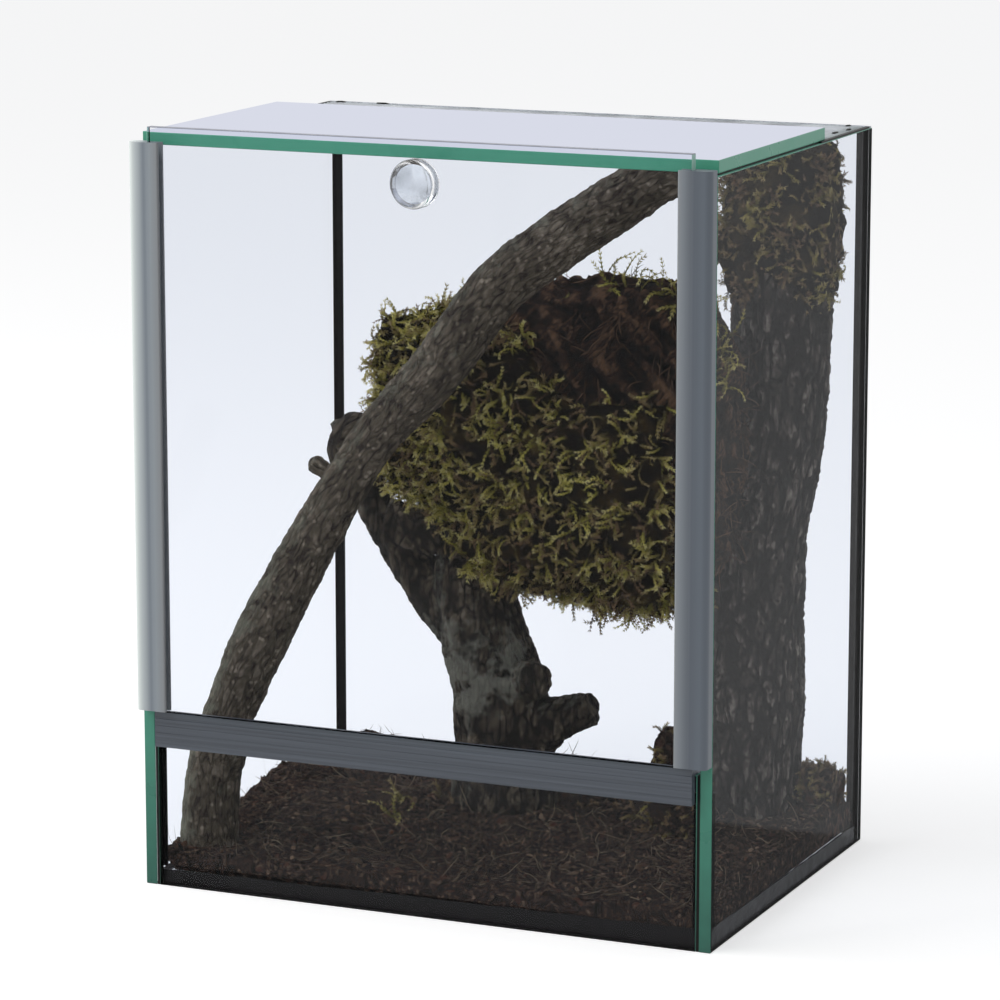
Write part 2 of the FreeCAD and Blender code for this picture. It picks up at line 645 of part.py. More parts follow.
# Middle of each heap, its spread along X and Y, and its share of the mound's rise
HEAPS = ((14.0 - inner, 14.0, 20.0, 22.0, 1.0), (stem_x, stem_y, 26.0, 20.0, 0.55))


def soil_top(x, y):
    """Height of the soil above the underside at a place in the tank."""
    share = (y - front) / (rear - front)
    level = floor_top + between(measure("soil_front"), measure("soil_rear"), share)
    for middle_x, middle_y, wide, deep, part in HEAPS:
        away = ((x - middle_x) / wide) ** 2 + ((y - middle_y) / deep) ** 2
        level += part * measure("mound_rise") * math.exp(-away)
    ripple = 0.9 * math.sin(x / 11.0) * math.cos(y / 9.0 + 0.6)
    return level + ripple


def soil_block():
    """The soil under its uneven top."""
    rows = []
    for along in range(SOIL_ROWS + 1):
        y = between(front - SOIL_MARGIN, rear + SOIL_MARGIN, along / SOIL_ROWS)
        row = []
        for across in range(SOIL_COLUMNS + 1):
            x = between(-inner - SOIL_MARGIN, inner + SOIL_MARGIN, across / SOIL_COLUMNS)
            row.append(FreeCAD.Vector(x, y, soil_top(x, y)))
        rows.append(row)
    surface = Part.BSplineSurface()
    surface.interpolate(rows)
    below = 3 * measure("soil_rear")
    return surface.toShape().extrude(FreeCAD.Vector(0, 0, -below))


soil = soil_block().common(space)
for solid in (trunk, branch, stump):
    soil = soil.cut(solid)

# Corner mound: a heap of moss and soil between the trunk and the right rear corner
heap = measure("heap_across") / 2
heap_high = measure("heap_high")
heap_x = measure("inner_x - clearance") - 0.83 * heap
heap_y = measure("inner_rear - clearance") - 0.8 * heap
mound_route = []
for share, full in ((0.16, 1.0), (0.64, 0.93), (0.88, 0.71), (1.0, 0.36)):
    mound_route.append((heap_x, heap_y, floor_top + share * heap_high, heap * full))
mound = log(mound_route, LEVEL, 0.07).common(space)
for solid in (trunk, soil):
    mound = mound.cut(solid)

formed("upright_trunk", trunk)
formed("diagonal_branch", branch)
formed("forked_stump", stump)
formed("bark_chunk", chunk)
formed("moss_mat", mat)
formed("trunk_moss", collar)
formed("substrate", soil)
formed("corner_mound", mound)

document.recompute()
for item in document.Objects:
    if "Invalid" in item.State or "Error" in item.State:
        raise RuntimeError("%s is %s" % (item.Name, item.State))

os.makedirs("parts", exist_ok=True)
for piece in pieces:
    shape = piece.Shape
    if shape.isNull() or not shape.isValid():
        raise RuntimeError(piece.Label + " has no valid shape")
    shape.exportStep(os.path.join("parts", piece.Label + ".step"))
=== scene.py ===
import math
import random

import bmesh
import bpy
from mathutils import Matrix, Vector, noise


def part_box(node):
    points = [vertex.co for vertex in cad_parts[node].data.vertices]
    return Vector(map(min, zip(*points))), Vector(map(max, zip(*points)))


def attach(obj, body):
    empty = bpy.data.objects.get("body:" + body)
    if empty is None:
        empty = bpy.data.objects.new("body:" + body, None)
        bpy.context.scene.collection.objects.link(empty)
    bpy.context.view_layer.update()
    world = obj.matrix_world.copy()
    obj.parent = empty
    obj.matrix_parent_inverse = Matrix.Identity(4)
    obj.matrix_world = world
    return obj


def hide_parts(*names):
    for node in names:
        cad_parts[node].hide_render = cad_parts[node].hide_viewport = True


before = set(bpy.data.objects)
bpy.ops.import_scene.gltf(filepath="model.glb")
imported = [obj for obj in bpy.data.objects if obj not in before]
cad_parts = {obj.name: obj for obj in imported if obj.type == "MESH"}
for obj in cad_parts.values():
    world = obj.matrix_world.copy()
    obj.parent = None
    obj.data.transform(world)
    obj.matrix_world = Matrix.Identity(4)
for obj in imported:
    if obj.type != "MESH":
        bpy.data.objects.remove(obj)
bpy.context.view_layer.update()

MM = 0.001

# Camera: a long lens, a little above the lid and to the right of the door, as in the photograph.
camera = bpy.data.objects.new("camera", bpy.data.cameras.new("camera"))
bpy.context.collection.objects.link(camera)
camera.location = (0.5721, -1.3241, 0.4112)
camera.rotation_euler = (math.radians(78.75), 0, math.radians(23.50))
camera.data.sensor_width = 36.0
camera.data.lens = 159.28
bpy.context.scene.camera = camera
bpy.context.scene.view_settings.view_transform = "Standard"


# Studio: a plain pale floor, an even white surround and one large soft lamp from the left.
# None of this belongs to the terrarium.
def linear(code):
    """The linear colour of an sRGB hex value."""
    parts = [int(code[place:place + 2], 16) / 255 for place in (1, 3, 5)]
    return [part / 12.92 if part <= 0.04045 else ((part + 0.055) / 1.055) ** 2.4 for part in parts] + [1]


def add_node(tree, kind, inputs=None, stops=None, **settings):
    """Add a node; an input is a value or another node's output, and stops are a ramp's colours."""
    node = tree.nodes.new("ShaderNode" + kind)
    for name, value in settings.items():
        setattr(node, name, value)
    for name, value in (inputs or {}).items():
        if isinstance(value, bpy.types.NodeSocket):
            tree.links.new(value, node.inputs[name])
        else:
            node.inputs[name].default_value = value
    if stops:
        ramp = node.color_ramp.elements
        while len(ramp) < len(stops):
            ramp.new(1.0)
        for element, (place, code) in zip(ramp, stops):
            element.position = place
            element.color = linear(code)
    return node


def new_material(name):
    """An empty node material and its tree."""
    material = bpy.data.materials.new(name)
    material.use_nodes = True
    material.node_tree.nodes.clear()
    return material, material.node_tree


def background_rays(tree):
    """1 for the rays that show the background itself, and 0 for those that light the object."""
    path = add_node(tree, "LightPath")
    shown = add_node(tree, "Math", {0: path.outputs["Is Camera Ray"], 1: path.outputs["Is Glossy Ray"]},
                     operation="MAXIMUM")
    return add_node(tree, "Math", {0: shown.outputs[0], 1: path.outputs["Is Transmission Ray"]},
                    operation="MAXIMUM").outputs[0]


SURROUND_LIGHT = 0.6
LAMP_WATTS = 9.0
FLOOR_COLOUR = "#E0DFDD"
FLOOR_LIFT = 0.50

world = bpy.data.worlds.new("white_surround")
bpy.context.scene.world = world
world.use_nodes = True
tree = world.node_tree
tree.nodes.clear()
lighting = add_node(tree, "Background", {"Color": linear("#F4F6FA"), "Strength": SURROUND_LIGHT})
backdrop = add_node(tree, "Background", {"Color": linear("#FFFFFF"), "Strength": 1.0})
mixed = add_node(tree, "MixShader", {0: background_rays(tree), 1: lighting.outputs[0], 2: backdrop.outputs[0]})
add_node(tree, "OutputWorld", {"Surface": mixed.outputs[0]})

bpy.ops.object.select_all(action="DESELECT")
bpy.ops.mesh.primitive_plane_add(size=8.0, location=(0, 0, -0.00005))
floor = bpy.context.object
floor.name = "studio_floor"
material, tree = new_material("floor_matt_paint")
paint = add_node(tree, "BsdfDiffuse", {"Color": linear(FLOOR_COLOUR)})
lift = add_node(tree, "Math", {0: background_rays(tree), 1: FLOOR_LIFT}, operation="MULTIPLY")
glow = add_node(tree, "Emission", {"Color": linear("#FFFFFF"), "Strength": lift.outputs[0]})
mixed = add_node(tree, "AddShader", {0: paint.outputs[0], 1: glow.outputs[0]})
add_node(tree, "OutputMaterial", {"Surface": mixed.outputs[0]})
floor.data.materials.append(material)

lamp = bpy.data.objects.new("window_lamp", bpy.data.lights.new("window_lamp", "AREA"))
bpy.context.collection.objects.link(lamp)
lamp.data.shape = "RECTANGLE"
lamp.data.size = 0.9
lamp.data.size_y = 0.7
lamp.data.energy = LAMP_WATTS
lamp.location = (-0.85, -0.55, 0.95)
lamp.rotation_euler = (Vector((0, 0, 0.11)) - lamp.location).to_track_quat("-Z", "Y").to_euler()


# Glass panes: 4 mm float glass cut to size, with 0.2 mm ground edges, and 3 mm glass for the door.
# The polished faces are clear and bend what is behind them. A cut edge is deep green from outside,
# because light crosses the pane's full width, and a mirror from within, by total reflection.
ARRIS = 0.2 * MM
FACE_TINT = "#F9FAFC"
GLASS_IOR = 1.52


def light_rays(tree):
    """1 for the rays that carry lamp light and soft light, which pass the glass unbent."""
    path = add_node(tree, "LightPath")
    return add_node(tree, "Math", {0: path.outputs["Is Shadow Ray"], 1: path.outputs["Is Diffuse Ray"]},
                    operation="MAXIMUM").outputs[0]


def polished_face(name, tint, shine=0.004, graze=0.10, sky="#FFFFFF", overlay=None):
    """Polished glass: what is behind it, bent and tinted, under a reflection that grows at a low angle.

    A painted reflection can lie over part of the pane: its strength, and the lines past which it lies,
    each a direction and how far along it the painted reflection starts.
    """
    material, tree = new_material(name)
    facing = add_node(tree, "LayerWeight", {"Blend": 0.5})
    steep = add_node(tree, "Math", {0: facing.outputs["Facing"], 1: 5.0}, operation="POWER")
    mirror = add_node(tree, "Math", {0: steep.outputs[0], 1: graze, 2: shine}, operation="MULTIPLY_ADD",
                      use_clamp=True)
    # The painted reflection: extra reflection laid in a band over part of the pane.
    if overlay:
        place = add_node(tree, "TexCoord").outputs["Object"]
        painted_reflection_share = overlay[0]
        for direction, start in overlay[1:]:
            reach = add_node(tree, "VectorMath", {0: place, 1: direction}, operation="DOT_PRODUCT")
            past = add_node(tree, "MapRange", {"Value": reach.outputs["Value"], "From Min": start,
                                               "From Max": start + 1.5 * MM})
            painted_reflection_share = add_node(tree, "Math", {0: past.outputs[0], 1: painted_reflection_share}, operation="MULTIPLY").outputs[0]
        mirror = add_node(tree, "Math", {0: mirror.outputs[0], 1: painted_reflection_share}, operation="ADD")
    bent = add_node(tree, "BsdfRefraction", {"Color": linear(tint), "IOR": GLASS_IOR, "Roughness": 0.0})
    gloss = add_node(tree, "BsdfGlossy", {"Color": linear(sky), "Roughness": 0.02})
    seen = add_node(tree, "MixShader", {0: mirror.outputs[0], 1: bent.outputs[0], 2: gloss.outputs[0]})
    straight = add_node(tree, "BsdfTransparent", {"Color": linear(tint)})
    mixed = add_node(tree, "MixShader", {0: light_rays(tree), 1: seen.outputs[0], 2: straight.outputs[0]})
    add_node(tree, "OutputMaterial", {"Surface": mixed.outputs[0]})
    return material


def cut_edge(name, deep, pale, inner="#CFE9DF"):
    """Cut and ground glass edge: green, darker near the floor, a little uneven along its length."""
    material, tree = new_material(name)
    place = add_node(tree, "TexCoord").outputs["Object"]
    height = add_node(tree, "SeparateXYZ", {0: place}).outputs["Z"]
    share = add_node(tree, "MapRange", {"Value": height, "From Min": 0.0, "From Max": 0.075})
    grime = add_node(tree, "TexNoise", {"Vector": place, "Scale": 160.0, "Detail": 3.0})
    wander = add_node(tree, "Math", {0: grime.outputs["Fac"], 1: 0.3, 2: -0.15}, operation="MULTIPLY_ADD")
    level = add_node(tree, "Math", {0: share.outputs[0], 1: wander.outputs[0]}, operation="ADD", use_clamp=True)
    green = add_node(tree, "ValToRGB", {0: level.outputs[0]}, stops=((0.0, deep), (0.8, pale), (1.0, pale)))
    rough = add_node(tree, "Math", {0: grime.outputs["Fac"], 1: 0.2, 2: 0.2}, operation="MULTIPLY_ADD")
    outside = add_node(tree, "BsdfPrincipled", {"Base Color": green.outputs[0], "Roughness": rough.outputs[0],
                                                "IOR": GLASS_IOR, "Specular IOR Level": 0.3})
    within = add_node(tree, "BsdfGlossy", {"Color": linear(inner), "Roughness": 0.05})
    side = add_node(tree, "MixShader", {0: add_node(tree, "NewGeometry").outputs["Backfacing"],
                                        1: outside.outputs[0], 2: within.outputs[0]})
    straight = add_node(tree, "BsdfTransparent", {"Color": linear("#E6F4EE")})
    mixed = add_node(tree, "MixShader", {0: light_rays(tree), 1: side.outputs[0], 2: straight.outputs[0]})
    add_node(tree, "OutputMaterial", {"Surface": mixed.outputs[0]})
    return material


def set_silicone():
    """Black silicone sealant, tooled by hand: near black, satin, with soft ripples."""
    material, tree = new_material("black_silicone_tooled")
    place = add_node(tree, "TexCoord").outputs["Object"]
    ripple = add_node(tree, "TexNoise", {"Vector": place, "Scale": 220.0, "Detail": 2.0})
    tone = add_node(tree, "ValToRGB", {0: ripple.outputs["Fac"]}, stops=((0.3, "#0B0808"), (0.8, "#141010")))
    rough = add_node(tree, "Math", {0: ripple.outputs["Fac"], 1: 0.35, 2: 0.3}, operation="MULTIPLY_ADD")
    bump = add_node(tree, "Bump", {"Height": ripple.outputs["Fac"], "Strength": 0.5, "Distance": 0.0006})
    surface = add_node(tree, "BsdfPrincipled", {"Base Color": tone.outputs[0], "Roughness": rough.outputs[0],
                                                "Normal": bump.outputs[0], "Specular IOR Level": 0.18})
    add_node(tree, "OutputMaterial", {"Surface": surface.outputs[0]})
    return material


def settle(piece, name, body, nodes=()):
    """Name a finished piece, put its place into its mesh and let it ride on its body."""
    piece.name = name
    piece.data.name = name
    piece.data.transform(piece.matrix_world)
    piece.matrix_world = Matrix.Identity(4)
    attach(piece, body)
    if nodes:
        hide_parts(*nodes)
    return piece


def block(low, high, bevel, segments=2):
    """A block between two corners whose edges are all ground or rounded."""
    bpy.ops.object.select_all(action="DESELECT")
    bpy.ops.mesh.primitive_cube_add(size=1.0, location=(low + high) / 2)
    piece = bpy.context.object
    piece.scale = high - low
    bpy.ops.object.transform_apply(location=False, rotation=False, scale=True)
    bpy.ops.object.mode_set(mode="EDIT")
    bpy.ops.mesh.select_all(action="SELECT")
    bpy.ops.mesh.bevel(offset=bevel, segments=segments, affect="EDGES")
    bpy.ops.object.mode_set(mode="OBJECT")
    bpy.ops.object.shade_smooth_by_angle(angle=math.radians(30))
    return piece


polished = polished_face("float_glass_polished_face", FACE_TINT)
# Painted reflections: a faint band on the right side pane above a sloping line, and a fainter one on the sill pane
# right of a diagonal.
side_face = polished_face("side_glass_face_painted_reflection", FACE_TINT, overlay=(
    0.015, ((0.0, 0.29, 1.0), 21 * MM), ((0.0, -1.0, 0.0), -65 * MM)))
sill_face = polished_face("sill_glass_face_painted_reflection", FACE_TINT, overlay=(
    0.0025, ((0.69, 0.0, -1.0), -67.3 * MM), ((0.0, 0.0, 1.0), 7 * MM)))
lid_face = polished_face("lid_glass_polished_face", "#EEF0F6", 0.04, 1.9, "#D8DBE8")
edge_green = cut_edge("float_glass_cut_edge", "#2E6254", "#4A937C")
lid_green = cut_edge("lid_glass_cut_edge", "#43896F", "#4FA084")
door_end = cut_edge("door_glass_cut_end", "#9CC4B6", "#A8CDBF", "#B9D3CA")
door_foot = cut_edge("door_glass_cut_foot", "#4A525A", "#4A525A", "#3C4249")
door_top = cut_edge("door_glass_cut_top", "#70747F", "#7F8290")

# The bottom edges stand in a smear of the black sealant
silicone = set_silicone()

PANES = (
    # node, body, axis of its thickness, polished face, cut edge, top edge, bottom edge
    ("base_pane", "terrarium", 2, polished, edge_green, edge_green, edge_green),
    ("left_side_pane", "terrarium", 0, polished, edge_green, edge_green, silicone),
    ("right_side_pane", "terrarium", 0, side_face, edge_green, edge_green, silicone),
    ("back_pane", "terrarium", 1, polished, edge_green, edge_green, silicone),
    ("front_sill_pane", "terrarium", 1, sill_face, edge_green, edge_green, silicone),
    ("lid_pane", "terrarium", 2, lid_face, lid_green, lid_green, lid_green),
    ("door_pane", "door", 1, polished, door_end, door_top, door_foot),
)

for node, body, axis, *finishes in PANES:
    pane = block(*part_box(node), ARRIS, 1)
    for finish in finishes:
        pane.data.materials.append(finish)
    for polygon in pane.data.polygons:
        if abs(polygon.normal[axis]) > 0.99:
            polygon.material_index = 0
        else:
            polygon.material_index = 2 if polygon.normal.z > 0.5 else 3 if polygon.normal.z < -0.5 else 1
    settle(pane, node + "_glass", body, [node])


# Silicone: black sealant gunned between the panes and smoothed with a finger, satin where it has set.
# The CAD seams keep their shape; the gloss comes and goes along them.
SEAMS = ("sill_seam_left", "sill_seam_right", "rear_seam_left", "rear_seam_right",
         "lid_seam_left", "lid_seam_right", "left_channel_bond", "right_channel_bond")
for node in SEAMS:
    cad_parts[node].data.materials.clear()
    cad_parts[node].data.materials.append(silicone)


def wiped_silicone(rear):
    """Silicone at the vent: black at the sides, wiped to a thin grey smear along the rear."""
    material, tree = new_material("silicone_wiped_thin")
    place = add_node(tree, "TexCoord").outputs["Object"]
    depth = add_node(tree, "SeparateXYZ", {0: place}).outputs["Y"]
    thin = add_node(tree, "MapRange", {"Value": depth, "From Min": rear - 2.0 * MM, "From Max": rear - 1.2 * MM})
    smear = add_node(tree, "TexNoise", {"Vector": place, "Scale": 130.0, "Detail": 4.0})
    grey = add_node(tree, "ValToRGB", {0: smear.outputs["Fac"]}, stops=((0.35, "#8E929C"), (0.6, "#C4C7D0")))
    tone = add_node(tree, "Mix", {"Factor": thin.outputs[0], "A": linear("#121012"), "B": grey.outputs[0]},
                    data_type="RGBA")
    surface = add_node(tree, "BsdfPrincipled", {"Base Color": tone.outputs["Result"], "Roughness": 0.5,
                                                "Specular IOR Level": 0.2})
    add_node(tree, "OutputMaterial", {"Surface": surface.outputs[0]})
    return material


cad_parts["vent_bead"].data.materials.clear()
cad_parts["vent_bead"].data.materials.append(wiped_silicone(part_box("vent_bead")[1].y))

# Base seam: one bead run by hand round the base pane, thin at the front left and heavy at the right
BEAD_CORNERS = ((-1, -1, 4.9), (1, -1, 6.9), (1, 1, 5.8), (-1, 1, 5.2))
BEAD_STEPS = 90
BEAD_JOINT = 1.0 * MM
low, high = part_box("base_seam")
middle = (low + high) / 2
half = (high - low) / 2 - Vector((0.02, 0.02, 0)) * MM
base_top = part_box("base_pane")[1].z + 0.02 * MM
bpy.ops.object.select_all(action="DESELECT")
bpy.ops.mesh.primitive_grid_add(x_subdivisions=5, y_subdivisions=4 * BEAD_STEPS, size=1.0)
bead = bpy.context.object
for vertex in bead.data.vertices:
    way = (vertex.co.y + 0.5) * 4
    side = min(int(way + 1e-4), 3)
    corner = Vector(BEAD_CORNERS[side]).lerp(Vector(BEAD_CORNERS[(side + 1) % 4]), way - side)
    wall = Vector((middle.x + corner.x * half.x, middle.y + corner.y * half.y, 0))
    ripple = noise.fractal(wall / MM * 0.11, 1.0, 2.0, 3)
    top = max(corner.z * MM + 0.35 * MM * ripple, base_top + 0.1 * MM)
    reach = BEAD_JOINT + top - base_top
    line = round((vertex.co.x + 0.5) * 5) % 5
    inward, height = ((0, 0), (0, top), (reach, base_top), (BEAD_JOINT, base_top), (BEAD_JOINT, 0))[line]
    vertex.co = wall - Vector((corner.x, corner.y, 0)) * inward + Vector((0, 0, height))
bpy.ops.object.mode_set(mode="EDIT")
bpy.ops.mesh.select_all(action="SELECT")
bpy.ops.mesh.remove_doubles(threshold=1e-6)
bpy.ops.mesh.normals_make_consistent(inside=False)
bpy.ops.object.mode_set(mode="OBJECT")
bpy.ops.object.shade_smooth_by_angle(angle=math.radians(40))
bead.data.materials.append(silicone)
settle(bead, "base_bead_run_by_hand", "terrarium", ["base_seam"])


# Door channels and sill rail: extruded plastic, satin, glued to the glass edges.
# The channels carry painted light and shade: a painted highlight at one edge and painted shade along the valley; the
# rail is slate with fine lines.
def channel_plastic(name, outer_x, inner_x, light_and_shade_bands):
    """Extruded rigid plastic: satin, with painted light and shade laid in stripes across its width."""
    material, tree = new_material(name)
    place = add_node(tree, "TexCoord").outputs["Object"]
    across = add_node(tree, "SeparateXYZ", {0: place}).outputs["X"]
    share = add_node(tree, "MapRange", {"Value": across, "From Min": outer_x, "From Max": inner_x})
    tone = add_node(tree, "ValToRGB", {0: share.outputs[0]}, stops=light_and_shade_bands)
    fine = add_node(tree, "Mapping", {"Vector": place, "Scale": (900.0, 900.0, 12.0)})
    drawn = add_node(tree, "TexNoise", {"Vector": fine.outputs[0], "Scale": 1.0, "Detail": 2.0})
    rough = add_node(tree, "Math", {0: drawn.outputs["Fac"], 1: 0.15, 2: 0.35}, operation="MULTIPLY_ADD")
    bump = add_node(tree, "Bump", {"Height": drawn.outputs["Fac"], "Strength": 0.15, "Distance": 0.0002})
    surface = add_node(tree, "BsdfPrincipled", {"Base Color": tone.outputs[0], "Roughness": rough.outputs[0],
                                                "Normal": bump.outputs[0], "IOR": 1.5})
    add_node(tree, "OutputMaterial", {"Surface": surface.outputs[0]})
    return material


# Painted light and shade: the left channel is painted pale, with a painted highlight at its outer edge; the right one
# is painted darker, as in shade, and both darken along the valley.
low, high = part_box("left_door_channel")
left_plastic = channel_plastic("left_channel_plastic_painted_light_and_shade", low.x, high.x, (
    (0.0, "#EDF4F0"), (0.14, "#D8DFDC"), (0.3, "#B4BBBD"), (0.52, "#7C848C"), (0.75, "#8D9499"), (1.0, "#86888A")))
low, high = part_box("right_door_channel")
right_plastic = channel_plastic("right_channel_plastic_painted_light_and_shade", low.x, high.x, (
    (0.0, "#929698"), (0.15, "#80868C"), (0.5, "#545B64"), (0.7, "#5C646D"), (1.0, "#646C75")))
for node, plastic in (("left_door_channel", left_plastic), ("right_door_channel", right_plastic)):
    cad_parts[node].data.materials.clear()
    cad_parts[node].data.materials.append(plastic)


def rail_plastic():
    """Extruded slate plastic: satin, with fine streaks drawn along its length."""
    material, tree = new_material("rail_extruded_plastic")
    place = add_node(tree, "TexCoord").outputs["Object"]
    fine = add_node(tree, "Mapping", {"Vector": place, "Scale": (8.0, 900.0, 900.0)})
    drawn = add_node(tree, "TexNoise", {"Vector": fine.outputs[0], "Scale": 1.0, "Detail": 3.0})
    tone = add_node(tree, "ValToRGB", {0: drawn.outputs["Fac"]}, stops=((0.3, "#3B4048"), (0.7, "#525861")))
    bump = add_node(tree, "Bump", {"Height": drawn.outputs["Fac"], "Strength": 0.3, "Distance": 0.0003})
    surface = add_node(tree, "BsdfPrincipled", {"Base Color": tone.outputs[0], "Roughness": 0.42,
                                                "Normal": bump.outputs[0], "IOR": 1.5})
    add_node(tree, "OutputMaterial", {"Surface": surface.outputs[0]})
    return material


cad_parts["sill_rail"].data.materials.clear()
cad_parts["sill_rail"].data.materials.append(rail_plastic())


# Vent: fine wire cloth clamped under the rear of the lid, with wires crossing at 45 degrees.
# Stainless wire, woven, 0.26 mm thick on a 1.9 mm pitch, set in black silicone at the side panes.
WIRE_PITCH = 1.9 * MM
WIRE_THICK = 0.26 * MM
low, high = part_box("vent_mesh")
middle = (low + high) / 2


def steel_wire():
    """Stainless steel wire, drawn: bright grey metal with light scratches."""
    material, tree = new_material("stainless_steel_drawn_wire")
    place = add_node(tree, "TexCoord").outputs["Object"]
    stain = add_node(tree, "TexNoise", {"Vector": place, "Scale": 90.0, "Detail": 2.0})
    tone = add_node(tree, "ValToRGB", {0: stain.outputs["Fac"]}, stops=((0.3, "#C2C5CA"), (0.8, "#EDF0F4")))
    rough = add_node(tree, "Math", {0: stain.outputs["Fac"], 1: 0.2, 2: 0.22}, operation="MULTIPLY_ADD")
    surface = add_node(tree, "BsdfPrincipled", {"Base Color": tone.outputs[0], "Metallic": 1.0,
                                                "Roughness": rough.outputs[0]})
    add_node(tree, "OutputMaterial", {"Surface": surface.outputs[0]})
    return material


def trim(piece, point, normal):
    """Cut away what lies beyond a plane and close the cut."""
    bpy.ops.mesh.select_all(action="SELECT")
    bpy.ops.mesh.bisect(plane_co=point, plane_no=normal, use_fill=True, clear_outer=True)


reach = (high - low).xy.length
count = int(reach / WIRE_PITCH)
wires = []
for layer, turn in ((-1, 45), (1, -45)):
    for step in range(-count // 2, count // 2 + 1):
        bpy.ops.object.select_all(action="DESELECT")
        bpy.ops.mesh.primitive_cylinder_add(vertices=6, radius=WIRE_THICK / 2, depth=reach, end_fill_type="NGON",
                                            rotation=(math.radians(90), 0, 0))
        wire = bpy.context.object
        bpy.ops.object.transform_apply(location=False, rotation=True, scale=False)
        wire.location = (step * WIRE_PITCH, 0, 0)
        wire.data.transform(Matrix.Translation((step * WIRE_PITCH, 0, 0)))
        wire.location = (0, 0, 0)
        wire.data.transform(Matrix.Rotation(math.radians(turn), 4, "Z"))
        wire.data.transform(Matrix.Translation(middle + Vector((0, 0, layer * WIRE_THICK * 0.4))))
        wires.append(wire)
bpy.ops.object.select_all(action="DESELECT")
for wire in wires:
    wire.select_set(True)
bpy.context.view_layer.objects.active = wires[0]
bpy.ops.object.join()
cloth = bpy.context.object
bpy.ops.object.mode_set(mode="EDIT")
trim(cloth, (low.x, 0, 0), (-1, 0, 0))
trim(cloth, (high.x, 0, 0), (1, 0, 0))
trim(cloth, (0, low.y, 0), (0, -1, 0))
trim(cloth, (0, high.y, 0), (0, 1, 0))
bpy.ops.object.mode_set(mode="OBJECT")
steel = steel_wire()
cloth.data.materials.clear()
cloth.data.materials.append(steel)
settle(cloth, "vent_wire_cloth", "terrarium", ["vent_mesh"])

# Dabs of silicone where the cloth's rim was pressed down: share along x, share along y, length, width
DABS = ((0.985, 0.52, 4.5, 1.6), (0.99, 0.74, 3.4, 1.4), (0.97, 0.97, 3.0, 1.4), (0.02, 0.97, 4.0, 1.5),
        (0.1, 0.985, 5.0, 1.3), (0.015, 0.4, 3.5, 1.4))
for number, (across, along, long, wide) in enumerate(DABS):
    bpy.ops.object.select_all(action="DESELECT")
    bpy.ops.mesh.primitive_uv_sphere_add(segments=20, ring_count=12, radius=1.0)
    dab = bpy.context.object
    for vertex in dab.data.vertices:
        lump = 1.0 + 0.25 * noise.noise(vertex.co * 1.3 + Vector((number * 5.0, 0, 0)))
        size = Vector((long, wide, 0.55)) if number in (3, 4) else Vector((wide, long, 0.55))
        vertex.co = Vector([part * lump * reach_out / 2 * MM for part, reach_out in zip(vertex.co, size)])
    dab.location = (low.x + (high.x - low.x) * across, low.y + (high.y - low.y) * along, high.z + 0.1 * MM)
    bpy.context.view_layer.update()
    bpy.ops.object.shade_smooth()
    dab.data.materials.append(silicone)
    settle(dab, f"silicone_dab_{number}", "terrarium")


# Knob: clear acrylic turned with a waist, polished, on a clear adhesive disc.
# Its domed face has dark rims and a bright middle painted into its colour, as painted reflections.
def clear_acrylic():
    """Cast acrylic, polished: clear, bending what is behind it, with dark reflections painted towards its rim."""
    material, tree = new_material("clear_acrylic_painted_dark_rims")
    place = add_node(tree, "TexCoord").outputs["Object"]
    uneven = add_node(tree, "TexNoise", {"Vector": place, "Scale": 150.0, "Detail": 1.0})
    facing = add_node(tree, "LayerWeight", {"Blend": 0.4}).outputs["Facing"]
    rim = add_node(tree, "Math", {0: uneven.outputs["Fac"], 1: 0.6, 2: facing}, operation="MULTIPLY_ADD")
    # Painted reflections: the colour darkens towards the rim and turns pale at its very edge, unevenly.
    depth = add_node(tree, "ValToRGB", {0: rim.outputs[0]},
                     stops=((0.36, "#FDFDFE"), (0.62, "#8F9194"), (0.9, "#55575B"), (1.0, "#B9BCC0")))
    glass = add_node(tree, "BsdfPrincipled", {"Base Color": depth.outputs[0], "Roughness": 0.0, "IOR": 1.49,
                                              "Transmission Weight": 1.0})
    through = add_node(tree, "BsdfTransparent", {"Color": linear("#F0F2F4")})
    lit = add_node(tree, "LightPath").outputs["Is Shadow Ray"]
    mixed = add_node(tree, "MixShader", {0: lit, 1: glass.outputs[0], 2: through.outputs[0]})
    add_node(tree, "OutputMaterial", {"Surface": mixed.outputs[0]})
    return material


def clear_tape():
    """Double-sided acrylic tape: clear, with a faint grey edge."""
    material, tree = new_material("clear_acrylic_tape")
    overlay = add_node(tree, "BsdfTransparent", {"Color": linear("#F4F6F8")})
    gloss = add_node(tree, "BsdfGlossy", {"Color": linear("#FFFFFF"), "Roughness": 0.1})
    rim = add_node(tree, "Math", {0: add_node(tree, "LayerWeight", {"Blend": 0.5}).outputs["Facing"], 1: 0.15},
                   operation="MULTIPLY")
    mixed = add_node(tree, "MixShader", {0: rim.outputs[0], 1: overlay.outputs[0], 2: gloss.outputs[0]})
    add_node(tree, "OutputMaterial", {"Surface": mixed.outputs[0]})
    return material


low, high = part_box("door_knob")
knob_middle = (low + high) / 2
knob_radius = (high.x - low.x) / 2
knob_long = high.y - low.y
